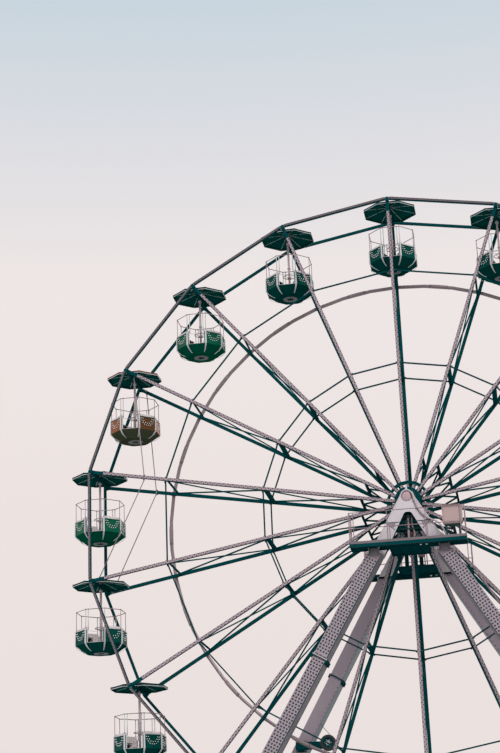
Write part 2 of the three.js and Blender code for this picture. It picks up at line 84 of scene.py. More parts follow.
class WheelSizes(bpy.types.PropertyGroup):
    """Sizes of the wheel and its supports."""

    spokes: IntProperty(name="Spokes", description="Spokes, rim joints and cabins", default=18, min=3)
    height: metres("Axis height", "Wheel axis above the ground", AXIS)
    rim: metres("Rim radius", "Rim joints from the axis", 12.0)
    pivot: metres("Pivot radius", "Cabin pivots from the axis", 11.9)
    hub_half: metres("Half width at the axis", "Middle of the wheel to a chord at the axis", 0.9)
    rim_half: metres("Half width at the rim", "Middle of the wheel to a chord at the rim", 1.155)
    lamp_pitch: metres("Lamp pitch", "Spacing of the lamps along a strip", 0.084)
    strip: metres("Strip width", "Width of a lamp strip", 0.100)
    lamp: metres("Lamp radius", "Radius of a lamp cup on the strips", 0.0225)
    outer_tie: metres("Outer tie", "Outer tie ring from the axis", 9.0)
    inner_tie: metres("Inner tie", "Inner tie rings from the axis", 5.31)
    drive: metres("Drive ring", "Drive ring from the axis", 9.25)
    board_pitch: metres("Board pitch", "Spacing of the lamps on the legs", 0.11)
    rail: metres("Rail radius", "Radius of the guard rails", 0.0145)
    slope: FloatProperty(name="Leg slope", description="Sideways lean per unit of height", default=0.588)
    rake: FloatProperty(name="Leg rake", description="Lean away from the wheel per unit of height", default=0.055)
    leg_mid: metres("Leg middle", "Leg's middle line at the axis level", -0.035)
    leg_face: metres("Leg face", "Outer leg faces at the axis level", 2.45)
    leg_deep: metres("Leg depth", "Leg from front to back", 0.85)
    splice: metres("Splice", "Splice flange under the axis", 5.67)


class CabinSizes(bpy.types.PropertyGroup):
    """Sizes of a cabin, with levels measured from its pivot."""

    canopy: metres("Canopy radius", "Canopy corner from the pole", 1.065)
    lip: metres("Canopy lip", "Lower edge of the canopy", -0.01)
    tub: metres("Tub", "Tub side from the pole", 0.88)
    top: metres("Tub top", "Level of the tub's edge", -1.70)
    sill: metres("Sill", "Level of the entry sill", -2.20)
    knee: metres("Tub knee", "Level where the tub slopes in", -2.21)
    bottom: metres("Tub bottom", "Level of the bottom plate", -2.48)
    base: metres("Bottom plate", "Bottom plate's side from the pole", 0.54)
    hoop: metres("Guard hoop", "Level of the guard hoop", -0.95)
    entry: metres("Entry", "Half the entry's width", 0.3)


class WheelColours(bpy.types.PropertyGroup):
    """Colours of the wheel, its supports and its cabins."""

    steel: hue("Frame", "Paint of the wheel", (0.002, 0.056, 0.062))
    strip: hue("Strip", "Lamp strips", (0.40, 0.33, 0.365))
    leg: hue("Leg", "Paint of the legs", (0.262, 0.205, 0.242))
    board: hue("Board", "Lamp boards on the legs", (0.33, 0.28, 0.32))
    panel: hue("Panel", "Paint of the head frames", (0.62, 0.585, 0.62))
    rail: hue("Rail", "Paint of rails and rings", (0.28, 0.2, 0.22))
    green: hue("Cabin green", "Cabins", (0.0, 0.105, 0.058))
    amber: hue("Cabin amber", "The one amber cabin", (0.32, 0.098, 0.036))
    white: hue("Trim", "Cabin trim", (0.56, 0.59, 0.60))


# ---- Shader maths ----

class Wire:
    """An output socket; the usual operators on it add Math nodes."""

    def __init__(self, paint, socket):
        self.paint, self.socket = paint, socket

    def math(self, operation, *others):
        return self.paint.node("ShaderNodeMath", {"operation": operation}, dict(enumerate((self, *others))))

    def after(self, operation, other):
        return self.paint.node("ShaderNodeMath", {"operation": operation}, {0: other, 1: self})

    __add__ = __radd__ = lambda self, other: self.math("ADD", other)
    __mul__ = __rmul__ = lambda self, other: self.math("MULTIPLY", other)
    __sub__ = lambda self, other: self.math("SUBTRACT", other)
    __rsub__ = lambda self, other: self.after("SUBTRACT", other)
    __truediv__ = lambda self, other: self.math("DIVIDE", other)
    __rtruediv__ = lambda self, other: self.after("DIVIDE", other)

    def above(self, level):
        return self.math("GREATER_THAN", level)

    def ramp(self, low, high):
        """0 below low, 1 above high, and a smooth step between."""
        return self.paint.node("ShaderNodeMapRange", {"interpolation_type": "SMOOTHSTEP"},
                               {"Value": self, "From Min": low, "From Max": high})


class Paint:
    """A material's node tree, built by one method that adds any node."""

    def __init__(self, name):
        self.material = bpy.data.materials.new(name)
        self.material.use_nodes = True
        self.tree = self.material.node_tree
        self.shader = self.tree.nodes["Principled BSDF"]

    def node(self, kind, settings=None, values=None, out=0):
        """Adds a node: its settings first, then the value or link of each socket, and gives the output asked for."""
        made = self.tree.nodes.new(kind)
        for name, value in (settings or {}).items():
            setattr(made, name, value)
        for key, value in (values or {}).items():
            self.feed(made.inputs[key], value)
        return Wire(self, made.outputs[out])

    def feed(self, socket, value):
        if isinstance(value, Wire):
            self.tree.links.new(value.socket, socket)
        elif socket.type == "RGBA":
            socket.default_value = (*value[:3], 1.0)
        else:
            socket.default_value = value

    def place(self):
        return self.node("ShaderNodeTexCoord", out="Object")

    def stretch(self, where, scale, turn=(0, 0, 0)):
        return self.node("ShaderNodeMapping", None, {"Vector": where, "Scale": scale, "Rotation": turn})

    def noise(self, where, scale, detail):
        values = {"Vector": where, "Scale": scale, "Detail": detail, "Roughness": 0.55}
        return self.node("ShaderNodeTexNoise", None, values)

    def cells(self, where, scale, feature="F1", out="Distance"):
        return self.node("ShaderNodeTexVoronoi", {"feature": feature}, {"Vector": where, "Scale": scale}, out)

    def axis(self, where, name):
        return self.node("ShaderNodeSeparateXYZ", None, {"Vector": where}, name)

    def facing(self, name="Z"):
        """How far the surface faces along an axis."""
        return self.axis(self.node("ShaderNodeNewGeometry", out="Normal"), name)

    def mix(self, amount, first, second):
        return self.node("ShaderNodeMix", {"data_type": "RGBA"}, {0: amount, 6: first, 7: second}, 2)

    def tint(self, colour, amount):
        """Colour times an amount, by Vector Math."""
        return self.node("ShaderNodeVectorMath", {"operation": "SCALE"}, {0: colour, "Scale": amount})

    def bump(self, height, depth):
        return self.node("ShaderNodeBump", None, {"Height": height, "Distance": depth, "Strength": 1.0})

    def set(self, **values):
        """Feeds the shader's sockets by name, with underscores for spaces."""
        for key, value in values.items():
            self.feed(self.shader.inputs[key.replace("_", " ")], value)
        return self.material


def colours():
    return bpy.context.scene.wheel_colours


def wheel():
    return bpy.context.scene.wheel_sizes


def coated(name, colour, rough, cloud, run, grime=(0.05, 0.045, 0.04), dust=0.18, grain=0.0004,
           coat=0.0, metal=0.0, fine=60.0, shine=0.5, cool=0.0):
    """Sprayed paint: broad fading, rain runs down Z, dust on what faces up, and orange peel in the bump; with cool,
    faces turned sideways take painted shade, darker and bluer."""
    p = Paint(name)
    where = p.place()
    broad = p.noise(where, 0.9, 4.0)
    close = p.noise(where, fine, 2.0)
    runs = p.noise(p.stretch(where, (9.0, 9.0, 0.7)), 1.0, 4.0).ramp(0.52, 0.78)
    speck = p.cells(where, 38.0).ramp(0.0, 0.16)
    shade = 1.0 + cloud * (broad - 0.5) * 2.0 + 0.10 * (close - 0.5)
    body = p.tint((*colour,), shade)
    # Painted shade: faces turned along X are mixed toward a darker, bluer copy of the colour, as much as cool.
    if cool:
        side = p.facing("X").math("ABSOLUTE").ramp(0.3, 0.9)
        body = p.mix(side * cool, body, (0.40 * colour[0], 0.72 * colour[1], 0.66 * colour[2]))
    body = p.mix(runs * run, body, grime)
    body = p.mix((1.0 - speck) * 0.08, body, grime)
    pale = tuple(0.55 * c + 0.45 * d for c, d in zip(colour, (0.42, 0.38, 0.34)))
    body = p.mix(p.facing().ramp(0.35, 0.95) * (0.5 + broad) * dust, body, pale)
    p.set(Coat_Weight=coat, Coat_Roughness=0.12, Metallic=metal, Specular_IOR_Level=shine)
    return p.set(Base_Color=body, Roughness=rough + 0.16 * (broad - 0.5) + 0.12 * runs,
                 Normal=p.bump(close + 0.6 * broad, grain))


def gelcoat(name, colour, rough=0.24, shine=0.10):
    """Moulded gel coat: soft gloss, faint mottle, hairline crazing and dulled rain marks."""
    p = Paint(name)
    where = p.place()
    mottle = p.noise(where, 3.2, 5.0)
    small = p.noise(where, 90.0, 2.0)
    marks = p.noise(p.stretch(where, (14.0, 14.0, 1.6)), 1.0, 5.0).ramp(0.55, 0.8)
    hair = 1.0 - p.cells(where, 16.0, "DISTANCE_TO_EDGE").ramp(0.0, 0.015)
    body = p.tint((*colour,), 0.88 + 0.24 * mottle + 0.05 * (small - 0.5))
    body = p.mix(hair * 0.16, body, tuple(0.6 * c for c in colour))
    body = p.mix(marks * 0.08, body, tuple(0.5 * c + 0.03 for c in colour))
    p.set(Coat_Weight=0.4 * shine, Coat_Roughness=0.12, Specular_IOR_Level=shine)
    return p.set(Base_Color=body, Roughness=rough + 0.18 * marks + 0.1 * (mottle - 0.5),
                 Normal=p.bump(small + 0.4 * hair, 0.0002))


def galvanised(name):
    """Hot dipped zinc: spangles of slightly different grey, dull patches and a little white bloom."""
    p = Paint(name)
    where = p.place()
    bright = p.axis(p.cells(where, 60.0, out="Color"), "X")
    bloom = p.noise(where, 4.0, 5.0).ramp(0.5, 0.75)
    body = p.tint((0.42, 0.43, 0.43), 0.8 + 0.35 * bright)
    body = p.mix(bloom * 0.35, body, (0.55, 0.56, 0.55))
    p.set(Metallic=0.75)
    return p.set(Base_Color=body, Roughness=0.38 + 0.2 * bloom + 0.12 * bright, Normal=p.bump(bright, 0.0001))


def chequer(name, colour):
    """Tread plate: short ridges in turn along two diagonals, as bars cut from a rotated grid by their cell's parity."""
    p = Paint(name)
    where = p.place()
    turned = p.stretch(where, (22.0, 22.0, 22.0), (0.0, 0.0, math.pi / 4))
    u, v = p.axis(turned, "X"), p.axis(turned, "Y")
    cu, cv = u.math("FLOOR"), v.math("FLOOR")
    odd = (cu + cv).math("MODULO", 2.0).math("ABSOLUTE").above(0.5)
    fu, fv = (u - cu - 0.5).math("ABSOLUTE"), (v - cv - 0.5).math("ABSOLUTE")
    bar_a = (1.0 - fu.ramp(0.10, 0.17)) * (1.0 - fv.ramp(0.32, 0.44))
    bar_b = (1.0 - fv.ramp(0.10, 0.17)) * (1.0 - fu.ramp(0.32, 0.44))
    ridge = odd * bar_a + (1.0 - odd) * bar_b
    wear = p.noise(where, 1.7, 5.0)
    body = p.tint((*colour,), 0.8 + 0.4 * wear)
    body = p.mix(ridge * wear.ramp(0.45, 0.7) * 0.7, body, (0.36, 0.36, 0.35))
    body = p.mix(wear.ramp(0.6, 0.8) * 0.35, body, (0.10, 0.09, 0.08))
    p.set(Metallic=0.35)
    return p.set(Base_Color=body, Roughness=0.62 - 0.22 * ridge, Normal=p.bump(ridge, 0.0025))


def rubber(name, colour=(0.016, 0.016, 0.018)):
    """Dull rubber with bloom."""
    p = Paint(name)
    where = p.place()
    bloom = p.noise(where, 6.0, 5.0)
    fine = p.noise(where, 150.0, 2.0)
    body = p.tint(colour, 0.8 + 0.6 * bloom)
    body = p.mix(bloom.ramp(0.52, 0.75) * 0.3, body, (0.12, 0.11, 0.10))
    return p.set(Base_Color=body, Roughness=0.68 + 0.2 * (bloom - 0.5), Normal=p.bump(fine, 0.0003))


def lens(name, colour):
    """Ribbed lamp lens, tinted, with dust toward its rim."""
    p = Paint(name)
    where = p.place()
    haze = p.noise(where, 9.0, 4.0)
    ribs = p.noise(where, 260.0, 1.0)
    body = p.mix(haze.ramp(0.42, 0.7) * 0.5, (*colour,), tuple(0.7 * c + 0.03 for c in colour))
    p.set(Coat_Weight=0.2, Coat_Roughness=0.08, IOR=1.45)
    return p.set(Base_Color=body, Roughness=0.3 + 0.2 * haze, Normal=p.bump(ribs, 0.0003))


def concrete(name):
    """Pale floated concrete with broad stains and fine grit."""
    p = Paint(name)
    where = p.place()
    stain = p.noise(where, 0.16, 6.0)
    grit = p.noise(where, 34.0, 3.0)
    body = p.mix(stain.ramp(0.35, 0.7) * 0.5, (0.63, 0.60, 0.58), (0.55, 0.53, 0.515))
    body = p.tint(body, 0.96 + 0.08 * grit)
    return p.set(Base_Color=body, Roughness=0.86, Normal=p.bump(grit, 0.002))


RECIPES = {
    "steel": lambda n: coated(n, colours().steel, 0.55, 0.20, 0.10, (0.0, 0.016, 0.018), 0.0, shine=0.0),
    # strip_rim: the strip paint at half its colour, painted shade on the rim strips seen from below.
    "strip_rim": lambda n: coated(n, tuple(0.5 * c for c in colours().strip), 0.50, 0.14, 0.22, (0.12, 0.10, 0.11),
                                  0.05, shine=0.1),
    "strip": lambda n: coated(n, colours().strip, 0.50, 0.14, 0.22, (0.17, 0.14, 0.15), 0.10, shine=0.3),
    "cup": lambda n: coated(n, (0.055, 0.050, 0.060), 0.5, 0.2, 0.1, dust=0.05, shine=0.1),
    "lens": lambda n: lens(n, (0.045, 0.042, 0.052)),
    "cup_dark": lambda n: coated(n, (0.014, 0.034, 0.044), 0.5, 0.2, 0.1, dust=0.02, shine=0.1),
    "lens_dark": lambda n: lens(n, (0.018, 0.040, 0.050)),
    "bulb": lambda n: lens(n, (0.86, 0.88, 0.84)),
    # Painted shade on the legs' sideways faces through cool; leg_back is a lighter copy of the leg paint, painted light
    # for the back legs' shaded faces.
    "leg": lambda n: coated(n, colours().leg, 0.48, 0.12, 0.20, (0.12, 0.105, 0.11), 0.12, shine=0.35, cool=0.5),
    "leg_back": lambda n: coated(n, (0.40, 0.335, 0.39), 0.48, 0.12, 0.20, (0.16, 0.14, 0.15), 0.12, shine=0.35,
                                 cool=0.9),
    "leg_dark": lambda n: coated(n, (0.016, 0.055, 0.058), 0.5, 0.2, 0.16, (0.008, 0.022, 0.024), 0.03, shine=0.1),
    "board": lambda n: coated(n, colours().board, 0.42, 0.10, 0.20, (0.21, 0.18, 0.20), 0.08),
    "panel": lambda n: coated(n, colours().panel, 0.38, 0.10, 0.20, (0.30, 0.25, 0.27), coat=0.1),
    "cabinet": lambda n: coated(n, (0.44, 0.325, 0.32), 0.40, 0.08, 0.18, (0.28, 0.20, 0.19), coat=0.1),
    "rail": lambda n: coated(n, colours().rail, 0.42, 0.14, 0.14, (0.14, 0.10, 0.11), shine=0.3),
    "ring": lambda n: coated(n, (0.26, 0.208, 0.222), 0.36, 0.24, 0.18, (0.05, 0.06, 0.06), metal=0.2),
    "tie": lambda n: coated(n, (0.002, 0.050, 0.056), 0.55, 0.2, 0.08, (0.0, 0.014, 0.016), 0.0, shine=0.0),
    "hoop": lambda n: coated(n, (0.31, 0.23, 0.25), 0.42, 0.14, 0.14, (0.14, 0.10, 0.11), shine=0.3),
    "toe": lambda n: coated(n, (0.17, 0.15, 0.165), 0.45, 0.2, 0.2, (0.06, 0.06, 0.06), shine=0.3),
    "conduit": lambda n: coated(n, (0.50, 0.42, 0.46), 0.4, 0.1, 0.15, (0.22, 0.18, 0.2)),
    "rope": lambda n: coated(n, (0.25, 0.21, 0.22), 0.5, 0.2, 0.1, grain=0.001, fine=400.0),
    "zinc": galvanised,
    "tread": lambda n: chequer(n, (0.030, 0.075, 0.072)),
    "tread_pale": lambda n: chequer(n, (0.26, 0.27, 0.27)),
    "rubber": rubber,
    "cable": lambda n: rubber(n, (0.022, 0.024, 0.026)),
    "green": lambda n: gelcoat(n, colours().green),
    "green_low": lambda n: gelcoat(n, tuple(0.78 * c for c in colours().green), 0.5, shine=0.0),
    "teal": lambda n: gelcoat(n, (0.0, 0.064, 0.053), 0.4, shine=0.05),
    "teal_low": lambda n: gelcoat(n, (0.0, 0.050, 0.044), 0.5, shine=0.0),
    "amber": lambda n: gelcoat(n, colours().amber),
    "olive": lambda n: gelcoat(n, (0.058, 0.070, 0.040), 0.5, shine=0.0),
    # Painted shade and light on the amber tub: umber is a darker copy for side 7, coral a lighter, pinker copy for side
    # 0.
    "umber": lambda n: gelcoat(n, (0.105, 0.048, 0.018), 0.4),
    "coral": lambda n: gelcoat(n, (0.62, 0.26, 0.20), 0.34),
    "brown": lambda n: gelcoat(n, (0.17, 0.060, 0.040), 0.3),
    "canopy": lambda n: gelcoat(n, (0.0, 0.034, 0.030), 0.4),
    "under": lambda n: coated(n, (0.0, 0.060, 0.052), 0.6, 0.2, 0.06, (0.0, 0.018, 0.016), 0.0, shine=0.0),
    "rib": lambda n: coated(n, (0.22, 0.36, 0.34), 0.5, 0.2, 0.1, (0.08, 0.16, 0.15), 0.0, shine=0.1),
    "white": lambda n: gelcoat(n, colours().white, 0.30),
    "seat": lambda n: gelcoat(n, (0.72, 0.66, 0.66), 0.34),
    "pole": lambda n: gelcoat(n, (0.47, 0.405, 0.42), 0.34),
    "dull": lambda n: coated(n, (0.16, 0.155, 0.17), 0.5, 0.2, 0.2, (0.04, 0.07, 0.07), shine=0.2),
    "pink": lambda n: coated(n, (0.47, 0.33, 0.36), 0.5, 0.2, 0.2, (0.16, 0.10, 0.11)),
    "concrete": concrete,
}
shelf = {}


def finish(name):
    if name not in shelf:
        shelf[name] = RECIPES[name](name)
    return shelf[name]


# ---- Surfaces as whole arrays: (points, [faces by corner count]) ----

def unit(v):
    v = np.asarray(v, float)
    return v / np.maximum(np.linalg.norm(v, axis=-1, keepdims=True), 1e-12)


def outward(surface):
    """Turns the faces round where the signed volume is negative, a sixth of the sum of each fan triangle's triple
    product."""
    points, faces = surface
    volume = sum(np.einsum("ij,ikj->", points[f[:, 0]], np.cross(points[f[:, 1:-1]], points[f[:, 2:]])) for f in faces)
    return (points, [f[:, ::-1] for f in faces]) if volume < 0 else surface


def loft(rings, closed=False):
    """Ring i, point j joins its neighbours (i, j+1), (i+1, j+1) and (i+1, j); end rings become caps."""
    rings = np.asarray(rings, float)
    m, n = rings.shape[:2]
    i = np.arange(m if closed else m - 1)[:, None]
    j = np.arange(n)[None]
    i1, j1 = (i + 1) % m, (j + 1) % n
    faces = [np.stack(np.broadcast_arrays(i * n + j, i * n + j1, i1 * n + j1, i1 * n + j), -1).reshape(-1, 4)]
    if not closed:
        faces += [np.arange(n)[None, ::-1], (m - 1) * n + np.arange(n)[None]]
    return outward((rings.reshape(-1, 3), faces))


def circle(radius, sides):
    a = 2 * np.pi * np.arange(sides) / sides
    return np.stack([radius * np.cos(a), radius * np.sin(a)], 1)


def rect(wide, deep, cut=0.0):
    """Rectangle about the middle, with its corners cut where asked."""
    a, b = wide / 2, deep / 2
    if not cut:
        return np.array([(-a, -b), (a, -b), (a, b), (-a, b)])
    return np.array([(-a + cut, -b), (a - cut, -b), (a, -b + cut), (a, b - cut), (a - cut, b), (-a + cut, b),
                     (-a, b - cut), (-a, -b + cut)])


def sweep(profile, path, up=Z, closed=False):
    """Profile carried along a path, mitred: at a bend, offsets in the bend's direction grow by one over the cosine of
    half the angle."""
    profile, path = np.asarray(profile, float), np.asarray(path, float)
    if closed:
        ahead = unit(np.roll(path, -1, 0) - path)
        behind = np.roll(ahead, 1, 0)
    else:
        step = unit(np.diff(path, axis=0))
        ahead, behind = np.vstack([step, step[-1:]]), np.vstack([step[:1], step])
    along = unit(ahead + behind)
    side = unit(np.cross(along, up))
    rise = np.cross(side, along)
    offset = profile[None, :, :1] * side[:, None] + profile[None, :, 1:] * rise[:, None]
    bend = ahead - behind
    length = np.linalg.norm(bend, axis=1, keepdims=True)
    bend = np.where(length > 1e-6, bend / np.maximum(length, 1e-9), 0)
    grow = 1 / np.clip((ahead * along).sum(1), 0.35, 1) - 1
    offset = offset + grow[:, None, None] * (offset * bend[:, None]).sum(2, keepdims=True) * bend[:, None]
    return loft(path[:, None] + offset, closed)


def tube(path, radius, sides=8, up=Z, closed=False):
    """Round pipe along a path."""
    return sweep(circle(radius, sides), path, up, closed)


def rod(a, b, radius, sides=8):
    """Straight round bar between two points."""
    up = Z if abs(unit(np.subtract(b, a))[2]) < 0.9 else Y
    return tube([a, b], radius, sides, up)


def beam(a, b, wide, deep, up=Z, cut=0.0):
    """Straight bar between two points: deep towards up, wide across."""
    return sweep(rect(wide, deep, cut), [a, b], up)


def block(low, high):
    """Box between two corners, in any order."""
    low, high = np.minimum(low, high), np.maximum(low, high)
    c = np.array([(0, 0), (1, 0), (1, 1), (0, 1)])
    rings = [[(*(low[:2] + (high - low)[:2] * q), z) for q in c] for z in (low[2], high[2])]
    return loft(rings)


def slab(outline, axis, low, high):
    """Flat outline given depth along an axis; the outline's two numbers are the other axes in order."""
    outline = np.asarray(outline, float)
    rings = [np.insert(outline, axis, level, 1) for level in (low, high)]
    return loft(rings)


def aim(axis, up=Z):
    """Axes of a part: the third along axis, the second leaning to up."""
    z = unit(axis)
    if abs(z @ unit(up)) > 0.95:
        up = Y if abs(z[1]) < 0.9 else X
    x = unit(np.cross(up, z))
    return np.stack([x, np.cross(z, x), z], -1)


def lathe(profile, sides, at=(0, 0, 0), axis=Z, closed=False):
    """Profile of radius and height turned about an axis; a closed one joins its last ring to its first."""
    profile = np.asarray(profile, float)
    a = 2 * np.pi * np.arange(sides) / sides
    rings = np.stack([profile[:, :1] * np.cos(a), profile[:, :1] * np.sin(a), profile[:, 1:] + 0 * a], -1)
    return loft(rings @ aim(axis).T + np.asarray(at, float), closed)


def ringed(radius, degrees, centre):
    """Points about a centre in the plane across Y, at angles from X toward Z."""
    a = np.radians(degrees)
    return np.stack([radius * np.cos(a), 0 * a, radius * np.sin(a)], 1) + centre


def four(at, wide, deep):
    """Corners of a level rectangle about a point."""
    return [(at[0] + i, at[1] + j, at[2]) for i in (-wide, wide) for j in (-deep, deep)]


def moved(surface, by):
    return surface[0] + np.asarray(by, float), surface[1]


def merge(*surfaces):
    """Several surfaces as one, the faces grouped by corner count."""
    points, groups, start = [], {}, 0
    for p, faces in surfaces:
        points.append(p)
        for f in faces:
            groups.setdefault(f.shape[1], []).append(f + start)
        start += len(p)
    return np.concatenate(points), [np.concatenate(g) for g in groups.values()]


def copies(surface, at, turns=None):
    """Copies at points, each turned by its own 3x3 matrix or all as they are."""
    points, faces = surface
    at = np.atleast_2d(np.asarray(at, float))
    turned = points[None]
    if turns is not None:
        turned = np.einsum("kij,nj->kni", np.broadcast_to(turns, (len(at), 3, 3)), points)
    step = (np.arange(len(at)) * len(points))[:, None, None]
    return (turned + at[:, None]).reshape(-1, 3), [(f[None] + step).reshape(-1, f.shape[1]) for f in faces]


def spin(angles):
    """Turns about the wheel's axle: local Z points to the joint at each angle, counted to the left from the top."""
    a = np.radians(np.atleast_1d(angles).astype(float))
    c, s, o = np.cos(a), np.sin(a), 0 * a
    return np.stack([np.stack([c, o, -s], -1), np.stack([o, o + 1, o], -1), np.stack([s, o, c], -1)], 1)


def around(surface, phase):
    """The surface repeated round the wheel's axle, once for each spoke."""
    w = wheel()
    angles = phase + 360.0 / w.spokes * np.arange(w.spokes)
    return copies(surface, np.repeat([(0.0, 0.0, w.height)], w.spokes, 0), spin(angles))


def bolted(points, axis, size, high):
    """Hexagon heads on washers, at points and along an axis."""
    washer = lathe([(size * 1.35, 0), (size * 1.35, high * 0.25)], 8)
    head = lathe([(size, high * 0.25), (size, high * 0.85), (size * 0.75, high)], 6)
    return copies(merge(washer, head), points, aim(axis))


def lamp(radius):
    """Dark cup with a low domed lens, along Z."""
    cup = lathe([(radius, 0), (radius * 0.86, 0.012)], 6)
    dome = lathe([(radius * 0.62, 0.008), (radius * 0.40, 0.021)], 6)
    return cup, dome


class Piece:
    """Surfaces gathered into one object; each has a finish, or one for each band of its rings, and flat or smooth
    shading."""

    def __init__(self, name, body, slot):
        self.name, self.body, self.slot, self.parts = name, body, slot, []

    def add(self, surface, look, smooth=False):
        self.parts.append((surface, look, smooth))
        return self

    def bolts(self, points, axis, size, high, look="zinc"):
        return self.add(bolted(points, axis, size, high), look)

    def round(self, surface, look, smooth=False, phase=0.0):
        """Adds the surface once for each spoke."""
        return self.add(around(surface, phase), look, smooth)

    def lamps(self, radius, spots, axis, up=Z, looks=("cup", "lens"), phase=None):
        """Adds cups and lenses at points, round the wheel where a phase is given."""
        for shape, look in zip(lamp(radius), looks):
            row = copies(shape, spots, aim(axis, up))
            self.add(row if phase is None else around(row, phase), look, look == looks[1])

    def build(self, replaces=(), bevel=0.0):
        points, corners, totals, looks, soft, names, start = [], [], [], [], [], [], 0
        for (p, faces), look, smooth in self.parts:
            points.append(p)
            bands = look if isinstance(look, (list, tuple)) else [look]
            for name in bands:
                if name not in names:
                    names.append(name)
            for k, f in enumerate(faces):
                if len(bands) > 1 and k == 0:
                    which = np.repeat([names.index(b) for b in bands], len(f) // len(bands))
                else:
                    which = np.full(len(f), names.index(bands[0 if k < 2 else -1]))
                corners.append((f + start).ravel())
                totals.append(np.full(len(f), f.shape[1]))
                looks.append(which)
                soft.append(np.full(len(f), smooth and f.shape[1] < 5))
            start += len(p)
        corners, totals = np.concatenate(corners), np.concatenate(totals)
        mesh = bpy.data.meshes.new(self.name)
        mesh.vertices.add(start)
        mesh.vertices.foreach_set("co", np.concatenate(points).astype(np.float32).ravel())
        mesh.loops.add(len(corners))
        mesh.loops.foreach_set("vertex_index", corners.astype(np.int32))
        mesh.polygons.add(len(totals))
        mesh.polygons.foreach_set("loop_start", np.concatenate([[0], np.cumsum(totals)[:-1]]).astype(np.int32))
        mesh.polygons.foreach_set("material_index", np.concatenate(looks).astype(np.int32))
        mesh.polygons.foreach_set("use_smooth", np.concatenate(soft))
        for name in names:
            mesh.materials.append(finish(name))
        mesh.update(calc_edges=True)
        made = bpy.data.objects.new(self.name, mesh)
        bpy.context.collection.objects.link(made)
        if bevel:
            soften = made.modifiers.new("edges", "BEVEL")
            soften.width, soften.segments, soften.limit_method = bevel, 1, "ANGLE"
            soften.angle_limit = math.radians(50)
        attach(made, self.body)
        if replaces:
            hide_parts(*replaces)
        return made


def dress(names, look):
    """Gives frame nodes that stay as they are their procedural finish."""
    for name in names:
        node = frame["nodes"][name]
        node.data.materials.clear()
        node.data.materials.append(finish(look))


# ---- Lamps and lamp strips ----

def tray(wide):
    """Shallow channel section with a lip along each side, its floor on the face."""
    a, b, low, high = wide / 2, wide / 2 - 0.007, 0.010, 0.020
    return [(-a, 0), (a, 0), (a, high), (b, high), (b, low), (-b, low), (-b, high), (-a, high)]


def half(r):
    """Middle of the wheel to the middle of a chord, which leans out in proportion to the radius."""
    w = wheel()
    return w.hub_half + (w.rim_half - w.hub_half) * r / w.rim


def zigzag(a, b, pitch, shift):
    """Places along a strip at a pitch, and their shifts to either side in turn."""
    along = np.arange(a, b, pitch)
    return along, np.where(np.arange(len(along)) % 2, shift, -shift)


class WHEEL_OT_spokes(bpy.types.Operator):
    """Chords, cross members and braces of the spokes, with lamp strips, casings and tie cleats"""
    bl_idname = "wheel.spokes"
    bl_label = "Spokes"

    def execute(self, context):
        w = wheel()
        frames = Piece("spoke_frames", "wheel", "frame_steel")
        for s in SIDES:
            ends = [(0, s * (half(r) + 0.005), r) for r in (0.80, w.rim - 0.20)]
            frames.round(sweep(rect(0.118, 0.100, 0.006), ends, Y), "steel")
            frames.round(beam((0, 0, V_TOP), (0, s * half(1.0), 1.0), 0.054, 0.054, X), "steel")
        for r, wide in ((w.outer_tie + 0.02, 0.06), (w.inner_tie, MEMBER), (V_TOP, 0.08)):
            frames.round(beam((0, -half(r), r), (0, half(r), r), wide, wide, X), "steel")
        for a, b in ((w.outer_tie, w.inner_tie), (w.inner_tie, V_TOP)):
            for s, wide in ((-1, 0.042), (1, 0.050)):
                high, low = (0, s * (half(a) - 0.185), a - 0.02), (0, -s * (half(b) - 0.185), b + 0.02)
                frames.round(beam(high, low, 0.042, wide, X), "steel")
        frames.build(replaces=[f"spoke_{k:02d}" for k in range(w.spokes)])
        dress(["front_outer_tie", "front_inner_tie", "back_inner_tie"], "tie")
        for s, name, spans in ((-1, "front", [(0.50, w.rim - 0.55)]),
                               (1, "back", [(0.50, w.drive - 0.35), (w.drive + 0.17, w.rim - 0.14)])):
            strips = Piece(f"spoke_strips_{name}", "wheel", "frame_steel")
            lamps = Piece(f"spoke_lamps_{name}", "wheel", "frame_steel")
            for r0, r1 in spans:
                ends = [(0, s * (half(r) + 0.0556 + 0.0003 * r), r) for r in (r0, r1)]
                strips.round(sweep(tray(w.strip), ends, (0, s, 0)), "strip")
                r, side = zigzag(r0 + 0.05, r1 - 0.02, w.lamp_pitch, 0.024)
                lamps.lamps(w.lamp, np.stack([side, s * (half(r) + 0.0656 + 0.0003 * r), r], 1), (0, s, 0), phase=0.0)
            strips.build()
            lamps.build()
        self.plates(w)
        return {"FINISHED"}

    def plates(self, w):
        """Casings with gussets round the inner cross members, and cleats for the tie rings."""
        plates = Piece("spoke_plates", "wheel", "frame_steel")
        r, t = w.inner_tie, 0.005
        low, high, reach = r - MEMBER / 2 - 0.035, r + MEMBER / 2 - 0.0005, half(r) - CHORD
        plates.round(block((-0.068, -reach, low), (0.068, reach, high)), "steel")
        for s in SIDES:
            end = s * (reach - 0.012)
            flat = [(end, low), (end, low - 0.13), (s * (reach - 0.20), low)]
            for x in (-0.04, 0.04):
                plates.round(slab(flat, 0, x - t, x + t), "steel")
            spots = [(x, s * (reach - 0.05), low) for x in (-0.045, 0.045)]
            plates.round(bolted(spots, DOWN, 0.010, 0.012), "zinc")
        for s, r, member in ((-1, w.outer_tie, 0.1), (-1, w.inner_tie, MEMBER), (1, w.inner_tie, MEMBER)):
            edge, z = half(r) - 0.061, r + member / 2 + 0.03
            for y in (edge + 0.005, edge - 0.055):
                plates.round(block((-0.12, s * y - 0.004, z - 0.035), (0.12, s * y + 0.004, z + 0.035)), "steel")
            spots = [(x, s * (edge + 0.009), z) for x in (-0.09, 0.09)]
            plates.round(bolted(spots, (0, s, 0), 0.009, 0.011), "zinc")
        plates.build()


